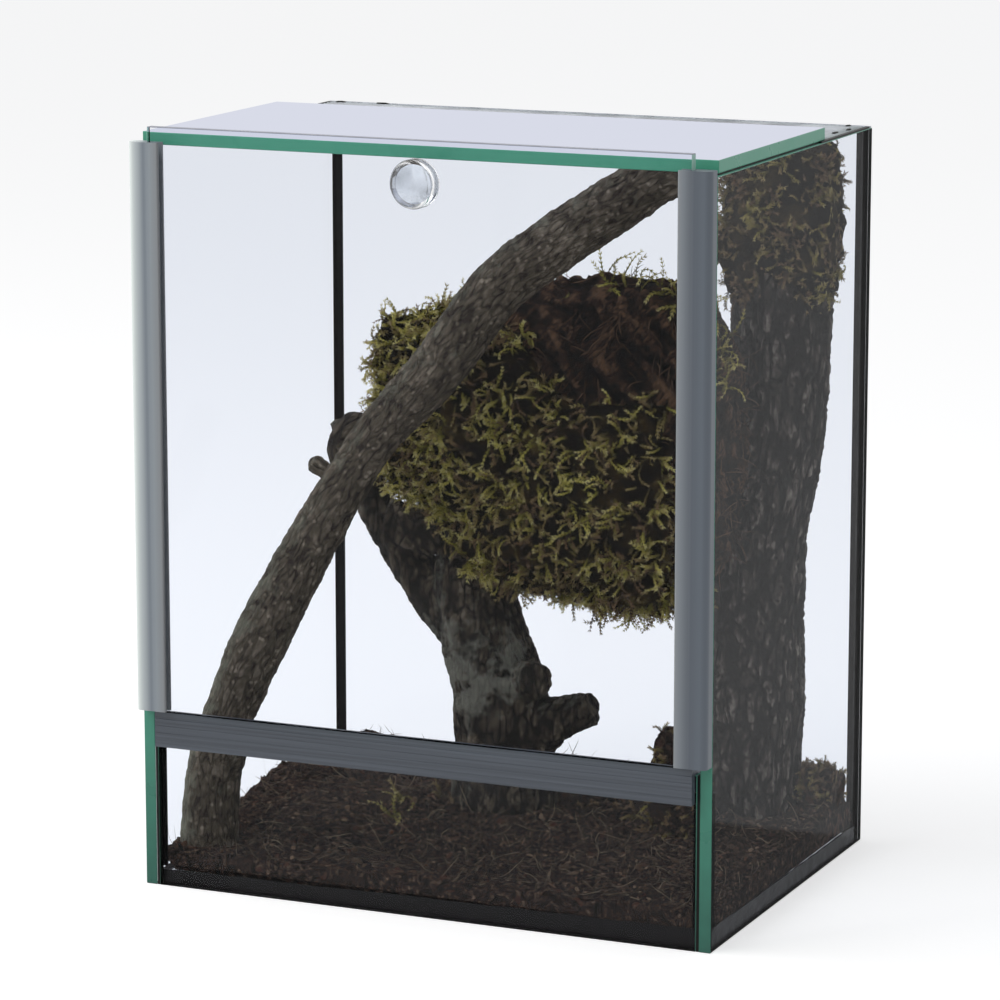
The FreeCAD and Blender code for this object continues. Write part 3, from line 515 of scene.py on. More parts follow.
# Share of the radius and of the length from the pad to the face
KNOB_PROFILE = ((0.0, 0.0), (0.9, 0.0), (0.97, 0.04), (1.0, 0.1), (0.95, 0.18), (0.78, 0.3), (0.76, 0.42),
                (0.9, 0.54), (0.985, 0.62), (1.0, 0.72), (0.96, 0.82), (0.84, 0.9), (0.6, 0.96), (0.3, 0.99),
                (0.0, 1.0))
bpy.ops.object.select_all(action="DESELECT")
bpy.ops.mesh.primitive_plane_add(size=1.0, location=(0, 0, 0))
knob = bpy.context.object
shape = bmesh.new()
ring = [shape.verts.new((out * knob_radius, -along * knob_long, 0)) for out, along in KNOB_PROFILE]
for first, second in zip(ring, ring[1:]):
    shape.edges.new((first, second))
shape.to_mesh(knob.data)
shape.free()
bpy.ops.object.mode_set(mode="EDIT")
bpy.ops.mesh.select_all(action="SELECT")
bpy.ops.mesh.spin(steps=64, angle=2 * math.pi, center=(0, 0, 0), axis=(0, 1, 0))
bpy.ops.mesh.select_all(action="SELECT")
bpy.ops.mesh.remove_doubles(threshold=1e-6)
bpy.ops.mesh.normals_make_consistent(inside=False)
bpy.ops.object.mode_set(mode="OBJECT")
bpy.ops.object.shade_smooth_by_angle(angle=math.radians(50))
knob.location = (knob_middle.x, high.y, knob_middle.z)
bpy.context.view_layer.update()
acrylic = clear_acrylic()
knob.data.materials.append(acrylic)
settle(knob, "acrylic_knob", "door", ["door_knob"])
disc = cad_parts["knob_pad"]
disc.data.materials.clear()
disc.data.materials.append(clear_tape())


# Wood: dead branches with their bark on, dried and set in the soil.
# The bark is cracked lengthways and grey-brown, with pale lichen patches, and more of them on the side that faces the
# lamp as painted light.
LID_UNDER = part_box("vent_mesh")[0].z / MM - 1.0


def soft_step(value, start, end):
    """0 before start, 1 after end, and smooth between them."""
    share = min(max((value - start) / (end - start), 0.0), 1.0)
    return share * share * (3 - 2 * share)


def bark(name, dark, mid, light, lichen, cracks, crack_dark_and_shade, pores):
    """Weathered bark: grey-brown on its plates, black in its cracks and darker where its relief is low, partly its own
    colour and partly painted shade, with dull pale lichen.
    """
    material, tree = new_material(name)
    skin = add_node(tree, "Attribute", attribute_name="skin").outputs["Vector"]
    relief = add_node(tree, "Attribute", attribute_name="relief").outputs["Fac"]
    crust_and_painted_light = add_node(tree, "Attribute", attribute_name="crust_and_painted_light").outputs["Fac"]
    drawn = add_node(tree, "Mapping", {"Vector": skin, "Scale": (1.0, 1.0, 0.35)}).outputs[0]
    grain = add_node(tree, "TexNoise", {"Vector": drawn, "Scale": 950.0, "Detail": 6.0, "Roughness": 0.7})
    blotch = add_node(tree, "TexNoise", {"Vector": skin, "Scale": 55.0, "Detail": 4.0})
    patch = add_node(tree, "TexNoise", {"Vector": skin, "Scale": 170.0, "Detail": 6.0, "Roughness": 0.75})
    sway = add_node(tree, "TexNoise", {"Vector": drawn, "Scale": 260.0, "Detail": 3.0})
    bent = add_node(tree, "VectorMath", {0: sway.outputs["Color"], 1: (0.005, 0.005, 0.005), 2: drawn},
                    operation="MULTIPLY_ADD")
    net = add_node(tree, "TexVoronoi", {"Vector": bent.outputs[0], "Scale": cracks}, feature="DISTANCE_TO_EDGE")
    gap = add_node(tree, "MapRange", {"Value": net.outputs["Distance"], "From Max": 0.16, "To Min": -crack_dark_and_shade,
                                      "To Max": 0.0})
    spot = add_node(tree, "TexVoronoi", {"Vector": skin, "Scale": 330.0})
    pore = add_node(tree, "MapRange", {"Value": spot.outputs["Distance"], "From Min": 0.14, "From Max": 0.26,
                                       "To Min": pores, "To Max": 0.0})
    level = add_node(tree, "Math", {0: grain.outputs["Fac"], 1: 0.9, 2: -0.45}, operation="MULTIPLY_ADD")
    # Low relief and the crack network darken the tone: partly the bark's own colour, partly painted shade; the pores
    # are its own dark spots.
    for part in (relief, gap.outputs[0], pore.outputs[0]):
        level = add_node(tree, "Math", {0: level.outputs[0], 1: part}, operation="ADD")
    cloud = add_node(tree, "Math", {0: blotch.outputs["Fac"], 1: 0.5, 2: -0.25}, operation="MULTIPLY_ADD")
    level = add_node(tree, "Math", {0: level.outputs[0], 1: cloud.outputs[0]}, operation="ADD", use_clamp=True)
    tone = add_node(tree, "ValToRGB", {0: level.outputs[0]}, stops=((0.15, dark), (0.5, mid), (0.85, light)))
    # More pale lichen patches where the crust value is high: real lichen on the stump, and painted light on the side
    # that faces the lamp.
    grown = add_node(tree, "Math", {0: crust_and_painted_light, 1: 0.5, 2: patch.outputs["Fac"]}, operation="MULTIPLY_ADD")
    cover = add_node(tree, "MapRange", {"Value": grown.outputs[0], "From Min": 0.6, "From Max": 0.82,
                                        "To Max": 0.8})
    scab = add_node(tree, "Mix", {"Factor": grain.outputs["Fac"], "A": linear(mid), "B": linear(lichen)},
                    data_type="RGBA")
    crusted = add_node(tree, "Mix", {"Factor": cover.outputs[0], "A": tone.outputs[0],
                                     "B": scab.outputs["Result"]}, data_type="RGBA")
    height = add_node(tree, "Math", {0: gap.outputs[0], 1: 2.0, 2: grain.outputs["Fac"]}, operation="MULTIPLY_ADD")
    bump = add_node(tree, "Bump", {"Height": height.outputs[0], "Strength": 0.9, "Distance": 0.0009})
    surface = add_node(tree, "BsdfPrincipled", {"Base Color": crusted.outputs["Result"], "Roughness": 0.88,
                                                "Normal": bump.outputs[0], "Specular IOR Level": 0.25})
    add_node(tree, "OutputMaterial", {"Surface": surface.outputs[0]})
    return material


def smooth_path(points, steps):
    """Points spread evenly along a smooth line through the given (x, y, z, radius) points."""
    spots = [Vector(point) for point in points]
    spots = [2 * spots[0] - spots[1]] + spots + [2 * spots[-1] - spots[-2]]
    fine = []
    for index in range(1, len(spots) - 2):
        before, start, end, after = spots[index - 1:index + 3]
        for part in range(16):
            way = part / 16
            fine.append(0.5 * (2 * start + (end - before) * way
                               + (2 * before - 5 * start + 4 * end - after) * way ** 2
                               + (3 * start - before - 3 * end + after) * way ** 3))
    fine.append(spots[-2])
    lengths = [0.0]
    for first, second in zip(fine, fine[1:]):
        lengths.append(lengths[-1] + (second.xyz - first.xyz).length)
    even = []
    spot = 0
    for step in range(steps + 1):
        wanted = lengths[-1] * step / steps
        while spot < len(lengths) - 2 and lengths[spot + 1] < wanted:
            spot += 1
        share = (wanted - lengths[spot]) / max(lengths[spot + 1] - lengths[spot], 1e-9)
        even.append(fine[spot].lerp(fine[spot + 1], min(share, 1.0)))
    return even, lengths[-1]


def grow_log(points, sides, rings, relief, crust_and_painted_light, seed, knots=()):
    """A log as one closed mesh along (x, y, z, radius) points in millimetres, with its bark's relief.

    relief gives the height of the bark from the way round, the way along and the radius; crust gives
    the lichen and the painted light from the place and the outward direction. A knot is (share along,
    angle, reach along, reach round, height).
    """
    path, length = smooth_path(points, rings)
    bpy.ops.object.select_all(action="DESELECT")
    bpy.ops.mesh.primitive_grid_add(x_subdivisions=sides, y_subdivisions=rings, size=1.0)
    piece = bpy.context.object
    mesh = piece.data
    height = mesh.attributes.new("relief", "FLOAT", "POINT")
    lichen = mesh.attributes.new("crust_and_painted_light", "FLOAT", "POINT")
    skin = mesh.attributes.new("skin", "FLOAT_VECTOR", "POINT")
    side = Vector((0, 1, 0))
    frames = []
    for index, spot in enumerate(path):
        ahead = (path[min(index + 1, rings)].xyz - path[max(index - 1, 0)].xyz).normalized()
        side = (side - ahead * side.dot(ahead)).normalized()
        frames.append((spot.xyz, ahead.cross(side), side.copy(), spot.w))
    for vertex in mesh.vertices:
        around = (vertex.co.x + 0.5) * 2 * math.pi
        ring = round((vertex.co.y + 0.5) * rings)
        centre, right, up, radius = frames[ring]
        along = ring / rings
        bark_high = relief(around, along * length, radius, seed)
        swell = 0.0
        for share, angle, reach, width, lift in knots:
            turn = (around - angle + math.pi) % (2 * math.pi) - math.pi
            swell += lift * math.exp(-((along - share) * length / reach) ** 2 - (turn / width) ** 2)
        oval = radius * (0.05 * math.cos(2 * around + 0.02 * along * length + seed)
                         + 0.04 * math.sin(3 * around + seed))
        outward = right * math.cos(around) + up * math.sin(around)
        spot = centre + outward * (radius + oval + bark_high + swell)
        spot.z = min(spot.z, LID_UNDER)
        vertex.co = spot * MM
        height.data[vertex.index].value = min(max(0.5 + 0.4 * bark_high, 0.0), 1.0)
        lichen.data[vertex.index].value = crust_and_painted_light(spot, outward)
        skin.data[vertex.index].vector = Vector((math.cos(around) * radius, math.sin(around) * radius,
                                                 along * length + seed * 10)) * MM
    bpy.ops.object.mode_set(mode="EDIT")
    bpy.ops.mesh.select_all(action="SELECT")
    bpy.ops.mesh.remove_doubles(threshold=1e-6)
    bpy.ops.mesh.select_non_manifold()
    bpy.ops.mesh.edge_face_add()
    bpy.ops.mesh.select_all(action="SELECT")
    bpy.ops.mesh.normals_make_consistent(inside=False)
    bpy.ops.object.mode_set(mode="OBJECT")
    bpy.ops.object.shade_smooth()
    return piece


def furrowed(around, along, radius, seed):
    """Old bark: deep cracks that run along the log and split it into long plates."""
    spot = Vector((math.cos(around) * radius * 0.34, math.sin(around) * radius * 0.34, along * 0.10 + seed))
    crack = noise.fractal(spot, 1.0, 2.1, 5)
    ridge = 1.0 - min(abs(noise.noise(spot * 1.5 + Vector((9, 2, 5)))) * 4.0, 1.0)
    grit = noise.noise(Vector((math.cos(around) * radius * 1.2, math.sin(around) * radius * 1.2, along * 0.9)))
    return 0.9 * crack - 1.2 * ridge ** 2 + 0.4 * grit


def fine_barked(around, along, radius, seed):
    """Young bark: short shallow cracks, wrinkles and small raised pores."""
    spot = Vector((math.cos(around) * radius * 0.4, math.sin(around) * radius * 0.4, along * 0.2 + seed))
    crack = noise.fractal(spot, 1.0, 2.0, 4)
    pore = noise.noise(Vector((math.cos(around) * radius * 0.8, math.sin(around) * radius * 0.8, along * 0.7)))
    return 0.45 * crack + 0.35 * pore


# The side of the wood that faces the lamp; paler bark laid there is painted light.
LIT_SIDE = Vector((-0.8, -0.35, 0.5)).normalized()


def branch_painted_light(spot, outward):
    """Painted light: pale lichen patches on the side that faces the lamp, most of them near the foot."""
    return 0.5 * soft_step(outward.dot(LIT_SIDE), 0.3, 0.95) * (1.0 - 0.5 * soft_step(spot.z, 60, 150))


def trunk_painted_light(spot, outward):
    """Painted light: a few pale lichen patches on the side that faces the lamp."""
    return 0.35 * soft_step(outward.dot(LIT_SIDE), 0.2, 0.9)


trunk_bark = bark("trunk_bark_weathered", "#0F0C0A", "#423B35", "#948B81", "#6C6F68", 230.0, 0.6, 0.0)
branch_bark = bark("branch_bark_weathered", "#241D16", "#584F42", "#8F8373", "#959A87", 420.0, 0.26, 0.3)
stump_bark = bark("stump_bark_mossy", "#17130E", "#4A4136", "#7F7464", "#AAAB9C", 280.0, 0.4, 0.0)

# Branch: from the soil at the front left, across the tank and up under the lid at the right
BRANCH = ((-86, -52, 5, 10.2), (-86, -51, 14, 10.0), (-86, -50, 24, 9.7), (-85, -48, 40, 9.0), (-79, -46, 59, 8.8),
          (-71, -43, 79, 9.6), (-53, -38, 115, 8.3), (-41, -35, 136, 7.4), (-32, -33, 150, 7.5),
          (-12, -29, 173, 8.6), (7, -25, 199, 8.7), (27, -22, 215, 9.1), (46, -19, 228, 9.0),
          (58, -17, 236, 8.6), (66, -16, 240, 8.4))
branch = grow_log(BRANCH, 84, 460, fine_barked, branch_painted_light, 3.1,
                  ((0.42, 3.6, 5.0, 0.5, 1.4), (0.12, 2.6, 7.0, 0.6, 1.3), (0.2, 3.4, 6.0, 0.5, 1.0),
                   (0.55, 1.0, 5.0, 0.4, 1.0), (0.3, 0.4, 5.0, 0.5, 1.0)))
branch.data.materials.append(branch_bark)
settle(branch, "branch_with_bark", "terrarium", ["diagonal_branch"])

# Bud scar: a small knob on the branch's upper left side
KNOB_SCAR = ((-47, -33, 134, 2.6), (-53.0, -32, 136.6, 2.7), (-56.4, -31, 138.0, 2.8), (-58.0, -31, 138.7, 1.5))
scar = grow_log(KNOB_SCAR, 28, 24, fine_barked, branch_painted_light, 8.2)
scar.data.materials.append(branch_bark)
settle(scar, "bud_scar_on_branch", "terrarium")

# Stub: the rounded end of the stump's left arm, behind the branch
STUB = ((-45, -22, 133, 4.0), (-50.0, -22, 139.5, 5.2), (-49.5, -21, 145, 5.7), (-46.5, -20.5, 149.5, 5.3),
        (-44.6, -20.3, 152.4, 3.6), (-44.0, -20.2, 153.7, 1.4))
stub = grow_log(STUB, 40, 40, fine_barked, lambda spot, outward: 0.0, 11.3)
stub.data.materials.append(stump_bark)
settle(stub, "rounded_stub_on_stump_arm", "terrarium")

# Trunk: a thick upright piece at the back right, leaning a little towards the right pane
TRUNK = ((62.5, 46.9, 4.5, 18.9), (64, 46.9, 30, 18.2), (66, 46.9, 75, 17.8), (68, 46.9, 110, 17.3),
         (74, 46.9, 145, 16.9), (75.5, 46.9, 180, 16.8), (76, 46.9, 215, 16.5), (76, 46.9, 238, 15.9))
trunk = grow_log(TRUNK, 140, 460, furrowed, trunk_painted_light, 7.7, ((0.5, 0.2, 12.0, 0.6, 1.0), (0.2, 3.0, 14.0, 0.7, 1.2)))
trunk.data.materials.append(trunk_bark)
settle(trunk, "trunk_with_bark", "terrarium", ["upright_trunk"])


def recast(node, voxel, rounds):
    """A copy of a CAD piece with an even, dense mesh to weather."""
    piece = bpy.data.objects.new(node + "_cast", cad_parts[node].data.copy())
    bpy.context.collection.objects.link(piece)
    bpy.ops.object.select_all(action="DESELECT")
    piece.select_set(True)
    bpy.context.view_layer.objects.active = piece
    piece.data.materials.clear()
    bpy.ops.object.mode_set(mode="EDIT")
    bpy.ops.mesh.select_all(action="SELECT")
    bpy.ops.mesh.remove_doubles(threshold=1e-6)
    bpy.ops.object.mode_set(mode="OBJECT")
    remesh = piece.modifiers.new("even", "REMESH")
    remesh.mode = "VOXEL"
    remesh.voxel_size = voxel * MM
    bpy.ops.object.modifier_apply(modifier="even")
    ease = piece.modifiers.new("ease", "SMOOTH")
    ease.factor = 0.5
    ease.iterations = rounds
    bpy.ops.object.modifier_apply(modifier="ease")
    bpy.ops.object.shade_smooth()
    return piece


def weather(piece, relief, depth, crust_and_painted_light=lambda spot, normal: 0.0):
    """Raise and sink a dense mesh along its normals, and keep the height and crust for its material."""
    height = piece.data.attributes.new("relief", "FLOAT", "POINT")
    lichen = piece.data.attributes.new("crust_and_painted_light", "FLOAT", "POINT")
    skin = piece.data.attributes.new("skin", "FLOAT_VECTOR", "POINT")
    moved = []
    for vertex in piece.data.vertices:
        lift = relief(vertex.co / MM, vertex.normal)
        moved.append(vertex.co + vertex.normal * lift * MM)
        height.data[vertex.index].value = min(max(0.5 + 0.5 * lift / depth, 0.0), 1.0)
        lichen.data[vertex.index].value = crust_and_painted_light(vertex.co / MM, vertex.normal)
        skin.data[vertex.index].vector = vertex.co
    for vertex, spot in zip(piece.data.vertices, moved):
        vertex.co = spot


def stump_relief(spot, normal):
    """Bark of the stump: cracks that follow its stem, worn smoother near the soil."""
    grain = Vector((spot.x * 0.22, spot.y * 0.22, spot.z * 0.09))
    crack = noise.fractal(grain, 1.0, 2.1, 5)
    ridge = 1.0 - min(abs(noise.noise(grain * 1.6 + Vector((3, 8, 1)))) * 3.6, 1.0)
    return 0.6 * crack - 0.7 * ridge ** 2 + 0.35 * noise.noise(spot * 0.8)


# Where a limb was sawn off: its end grain shows as pale rings
CUT_KNOT = (14.8, -9.0, 66.2)


def stump_lichen_and_painted_light(spot, normal):
    """Pale lichen on the lower stem, where it faces the door, pale end grain round the sawn limb, and a little painted
    light on the side that faces the lamp.
    """
    low_stem = soft_step(spot.z, 44, 56) * (1.0 - soft_step(spot.z, 64, 90)) * soft_step(-normal.y, -0.2, 0.5)
    ragged = 0.45 + 0.7 * noise.noise(spot * 0.12) + 0.4 * noise.noise(spot * 0.5)
    from_knot = (spot - Vector(CUT_KNOT)).length
    rings = 0.7 + 0.3 * math.cos(from_knot * 4.0) if from_knot < 5.2 else 0.0
    return max(ragged * low_stem * soft_step(10 - spot.x, 0, 16)
               + 0.25 * soft_step(normal.dot(LIT_SIDE), 0.2, 0.9), rings)


stump = recast("forked_stump", 0.8, 8)
weather(stump, stump_relief, 0.9, stump_lichen_and_painted_light)
stump.data.materials.append(stump_bark)
settle(stump, "forked_stump_with_bark", "terrarium", ["forked_stump"])


# Bark chunk: a rotten root ball wedged on the stump, dark brown and full of fibres.
# Loose fibres stand out of it, and moss hides its front and left.
def rotten_wood():
    """Crumbling brown wood and fibre: very dark in its hollows as painted shade, reddish where it is dry."""
    material, tree = new_material("root_ball_rotten_fibre")
    place = add_node(tree, "TexCoord").outputs["Object"]
    relief = add_node(tree, "Attribute", attribute_name="relief").outputs["Fac"]
    # The fibres run down to the right
    drawn = add_node(tree, "Mapping", {"Vector": place, "Rotation": (0.0, 0.7, 0.0), "Scale": (1.0, 1.0, 5.0)},
                     vector_type="TEXTURE")
    strand = add_node(tree, "TexNoise", {"Vector": drawn.outputs[0], "Scale": 800.0, "Detail": 6.0,
                                         "Roughness": 0.75, "Distortion": 0.8})
    level = add_node(tree, "Math", {0: strand.outputs["Fac"], 1: 2.0, 2: -1.0}, operation="MULTIPLY_ADD")
    # Low relief darkens the tone: painted shade in the hollows.
    level = add_node(tree, "Math", {0: level.outputs[0], 1: relief}, operation="ADD", use_clamp=True)
    tone = add_node(tree, "ValToRGB", {0: level.outputs[0]},
                    stops=((0.2, "#0E0B09"), (0.5, "#2F231C"), (0.85, "#70543F")))
    bump = add_node(tree, "Bump", {"Height": strand.outputs["Fac"], "Strength": 1.0, "Distance": 0.0014})
    surface = add_node(tree, "BsdfPrincipled", {"Base Color": tone.outputs[0], "Roughness": 0.95,
                                                "Normal": bump.outputs[0], "Specular IOR Level": 0.15})
    add_node(tree, "OutputMaterial", {"Surface": surface.outputs[0]})
    return material


def chunk_relief(spot, normal):
    """Torn fibre and hollows."""
    along = (spot.x * 0.64 - spot.z * 0.77) * 0.05
    grain = Vector(((spot.x * 0.77 + spot.z * 0.64) * 0.24, spot.y * 0.2, along))
    tear = 1.0 - min(abs(noise.noise(grain * 0.8 + Vector((4, 1, 7)))) * 3.0, 1.0)
    return 1.6 * noise.fractal(grain, 1.0, 2.3, 6) - 1.5 * tear ** 2 + 0.9 * noise.noise(spot * 0.8)


chunk = recast("bark_chunk", 1.0, 4)
weather(chunk, chunk_relief, 2.2)
chunk.data.materials.append(rotten_wood())


# Moss: dried feather moss, each sprig a curled stem with small pointed leaves, grown in clumps.
# It is dark olive inside and yellow-green at its tips, on a brown felt of old stems.
def ramp_by_age(name, fresh_stops, old_stops, rough):
    """Dead or dry plant fibre: its colour runs along the strand and differs between fresh and old ones."""
    material, tree = new_material(name)
    tip = add_node(tree, "Attribute", attribute_name="tip").outputs["Fac"]
    age = add_node(tree, "Attribute", attribute_name="age").outputs["Fac"]
    fresh = add_node(tree, "ValToRGB", {0: tip}, stops=fresh_stops)
    old = add_node(tree, "ValToRGB", {0: tip}, stops=old_stops)
    tone = add_node(tree, "Mix", {"Factor": age, "A": fresh.outputs[0], "B": old.outputs[0]}, data_type="RGBA")
    surface = add_node(tree, "BsdfPrincipled", {"Base Color": tone.outputs["Result"], "Roughness": rough,
                                                "Specular IOR Level": 0.3})
    add_node(tree, "OutputMaterial", {"Surface": surface.outputs[0]})
    return material


def moss_felt():
    """The brown felt of old stems under the sprigs, darker in its hollows as painted shade."""
    material, tree = new_material("moss_felt_matted")
    place = add_node(tree, "TexCoord").outputs["Object"]
    relief = add_node(tree, "Attribute", attribute_name="relief").outputs["Fac"]
    tuft = add_node(tree, "TexNoise", {"Vector": place, "Scale": 380.0, "Detail": 6.0, "Roughness": 0.7,
                                       "Distortion": 1.0})
    level = add_node(tree, "Math", {0: tuft.outputs["Fac"], 1: 1.2, 2: -0.6}, operation="MULTIPLY_ADD")
    # Low relief darkens the tone: painted shade in the hollows.
    level = add_node(tree, "Math", {0: level.outputs[0], 1: relief}, operation="ADD", use_clamp=True)
    tone = add_node(tree, "ValToRGB", {0: level.outputs[0]},
                    stops=((0.25, "#15100B"), (0.55, "#352A19"), (0.85, "#5E5130")))
    bump = add_node(tree, "Bump", {"Height": tuft.outputs["Fac"], "Strength": 1.0, "Distance": 0.002})
    surface = add_node(tree, "BsdfPrincipled", {"Base Color": tone.outputs[0], "Roughness": 0.95,
                                                "Normal": bump.outputs[0], "Specular IOR Level": 0.1})
    add_node(tree, "OutputMaterial", {"Surface": surface.outputs[0]})
    return material


INSIDE_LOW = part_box("left_side_pane")[1].x / MM + 1.0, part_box("front_sill_pane")[1].y / MM + 1.0
INSIDE_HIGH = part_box("right_side_pane")[0].x / MM - 1.0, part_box("back_pane")[0].y / MM - 1.0


class Tangle:
    """Many thin curved strands collected as one mesh, with their tip and age kept as attributes."""

    def __init__(self):
        self.spots = []
        self.faces = []
        self.tips = []
        self.ages = []

    def leaf(self, root, ahead, side, long, wide, tip, age):
        """A pointed leaf: one kite-shaped face."""
        start = len(self.spots)
        out = (side * 0.6 + ahead * 0.8).normalized()
        across = out.cross(side.cross(ahead)).normalized() * wide
        middle = root + out * long * 0.45
        self.spots += [root, middle + across, root + out * long + ahead * long * 0.15, middle - across]
        self.faces.append((start, start + 1, start + 2, start + 3))
        self.tips += [tip * 0.8, tip, min(tip + 0.3, 1.0), tip]
        self.ages += [age] * 4

    def strand(self, root, heading, length, thick, droop, curl, steps, age, draw, leaves=0.0):
        """A tapering stem that curls one way as it grows, with four leaves at each step."""
        spine = [root]
        step_long = length / steps
        ahead = heading.normalized()
        swing = Matrix.Rotation(curl * draw.uniform(0.3, 1.5), 3,
                                Vector((draw.gauss(0, 1), draw.gauss(0, 1), draw.gauss(0, 1))))
        for step in range(steps):
            stray = Vector((draw.gauss(0, 1), draw.gauss(0, 1), draw.gauss(0, 1))) * curl * 0.35
            ahead = (swing @ ahead + stray + Vector((0, 0, -droop))).normalized()
            spine.append(spine[-1] + ahead * step_long)
        start = len(self.spots)
        for index, spot in enumerate(spine[:-1]):
            ahead = (spine[index + 1] - spot).normalized()
            side = ahead.orthogonal().normalized()
            other = ahead.cross(side)
            width = thick / 2 * (1.0 - 0.6 * index / steps)
            for turn in range(3):
                angle = turn * 2 * math.pi / 3
                self.spots.append(spot + (side * math.cos(angle) + other * math.sin(angle)) * width)
            self.tips += [index / steps] * 3
        self.spots.append(spine[-1])
        self.tips.append(1.0)
        self.ages += [age] * (3 * steps + 1)
        for index in range(steps - 1):
            low = start + 3 * index
            for turn in range(3):
                after = (turn + 1) % 3
                self.faces.append((low + turn, low + after, low + 3 + after, low + 3 + turn))
        last = start + 3 * (steps - 1)
        for turn in range(3):
            self.faces.append((last + turn, last + (turn + 1) % 3, start + 3 * steps))
        self.faces.append((start + 2, start + 1, start))
        if leaves:
            for index in range(1, steps):
                ahead = (spine[index + 1] - spine[index]).normalized()
                side = Matrix.Rotation(draw.uniform(0, 6.28), 3, ahead) @ ahead.orthogonal().normalized()
                for turn in range(4):
                    side = Matrix.Rotation(1.57, 3, ahead) @ side
                    self.leaf(spine[index], ahead, side, leaves * draw.uniform(0.6, 1.2), leaves * 0.14,
                              index / steps, age)

    def piece(self, name, material, slot):
        """The mesh of all the strands, held inside the glass and riding with the box."""
        for spot in self.spots:
            spot.x = min(max(spot.x, INSIDE_LOW[0]), INSIDE_HIGH[0])
            spot.y = min(max(spot.y, INSIDE_LOW[1]), INSIDE_HIGH[1])
            spot.z = min(max(spot.z, 4.5), LID_UNDER)
        mesh = bpy.data.meshes.new(name)
        mesh.from_pydata([spot * MM for spot in self.spots], [], self.faces)
        for key, values in (("tip", self.tips), ("age", self.ages)):
            mesh.attributes.new(key, "FLOAT", "POINT").data.foreach_set("value", values)
        mesh.materials.append(material)
        mesh.update()
        made = bpy.data.objects.new(name, mesh)
        bpy.context.collection.objects.link(made)
        return settle(made, name, "terrarium")


def spots_on(piece, count, draw, wanted):
    """Random places on a mesh, in millimetres, each with its normal, kept where wanted says so."""
    mesh = piece.data
    mesh.calc_loop_triangles()
    triangles = list(mesh.loop_triangles)
    areas = [triangle.area for triangle in triangles]
    found = []
    for triangle in draw.choices(triangles, weights=areas, k=count):
        first, second, third = (mesh.vertices[index].co for index in triangle.vertices)
        one, two = sorted((draw.random(), draw.random()))
        spot = (first * one + second * (two - one) + third * (1 - two)) / MM
        if draw.random() < wanted(spot, triangle.normal):
            found.append((spot, Vector(triangle.normal)))
    return found


def clumpy(spot, size, gap):
    """The share of sprigs at a place: many in a clump and few in the gaps between clumps."""
    return soft_step(noise.noise(spot / size), gap - 0.12, gap + 0.12)


def grow_moss(tangle, spots, draw, long, age, lean):
    """Sprigs at the given places: age gives how old they are, and lean the way they point."""
    for spot, normal in spots:
        clump = noise.noise_vector(spot / 9.0)
        heading = normal * 0.9 + clump * 1.3 + Vector(lean)
        tangle.strand(spot - normal * 0.8, heading, draw.uniform(*long), draw.uniform(0.35, 0.65), 0.04, 0.36, 8,
                      min(max(age(spot) + 0.35 * noise.noise(spot / 6.0) + draw.uniform(-0.15, 0.15), 0.0), 1.0),
                      draw, draw.uniform(1.0, 1.5))


def mat_relief(spot, normal):
    """Cushions and hollows in the felt, thin in the tuft at the far left."""
    loose = soft_step(-spot.x, 16, 30) * soft_step(spot.z, 135, 150)
    return 3.2 * noise.fractal(spot * 0.09, 1.0, 2.0, 5) - 1.4 - 2.6 * loose


leaf = ramp_by_age("feather_moss_dry", ((0.0, "#2A200F"), (0.35, "#88812F"), (0.75, "#CBBF5E"), (1.0, "#F2E9AA")),
                   ((0.0, "#140D09"), (0.45, "#3F2E1E"), (1.0, "#8C7050")), 0.65)
felt = moss_felt()
draw = random.Random(41)
mat = recast("moss_mat", 1.1, 5)
weather(mat, mat_relief, 2.6)
mat.data.materials.append(felt)
fresh_spots = spots_on(mat, 9500, draw, lambda spot, normal: (
    max(clumpy(spot, 7.0, 0.1), 0.8 * soft_step(-spot.x, 18, 30)) * (0.3 if normal.y > 0.5 else 1.0)))
old_spots = spots_on(mat, 3600, draw, lambda spot, normal: 0.4 if normal.y > 0.5 else 1.0)
settle(mat, "moss_felt", "terrarium", ["moss_mat"])
for name, places, age in (("fresh_moss_sprigs_on_root_ball", fresh_spots[:1700], 0.2),
                          ("old_moss_sprigs_on_root_ball", old_spots[:1850], 0.85)):
    sprigs = Tangle()
    grow_moss(sprigs, places, draw, (5, 11), lambda spot: age, (0, -0.35, -0.1))
    sprigs.piece(name, leaf, "moss")

# Tufts on the root ball: the place, how wide they grow, how many sprigs and how old
TUFTS = ((32, 10, 209, 8, 150, 0.05), (46, 10, 206, 7, 90, 0.35), (14, -14, 196, 9, 90, 0.15), (60, 0, 200, 7, 60, 0.4),
         (78, 4, 188, 9, 110, 0.3), (80, 2, 172, 8, 80, 0.4))
chunk_tufts = Tangle()
for x, y, z, reach, count, age in TUFTS:
    centre = Vector((x, y, z))
    near = spots_on(chunk, 20000, draw, lambda spot, normal: (
        math.exp(-((spot - centre).length / reach) ** 2) if normal.y < 0.7 else 0.0))
    grow_moss(chunk_tufts, near[:count], draw, (7, 14), lambda spot: age, (0, 0.2, 1.2))
chunk_tufts.piece("moss_tufts_on_root_ball", leaf, "moss")
fibre = ramp_by_age("root_fibre_dry", ((0.0, "#3A2A1E"), (1.0, "#8A6A50")), ((0.0, "#1A130E"), (1.0, "#4A3628")),
                    0.85)
fibres = Tangle()
for spot, normal in spots_on(chunk, 2300, draw, lambda spot, normal: clumpy(spot, 6.0, -0.1)):
    heading = normal * 0.5 + noise.noise_vector(spot / 12.0) * 1.6
    fibres.strand(spot - normal * 0.5, heading, draw.uniform(4, 11), draw.uniform(0.25, 0.6), 0.1, 0.22, 5,
                  draw.random(), draw)
fibres.piece("loose_fibres_on_root_ball", fibre, "bark")
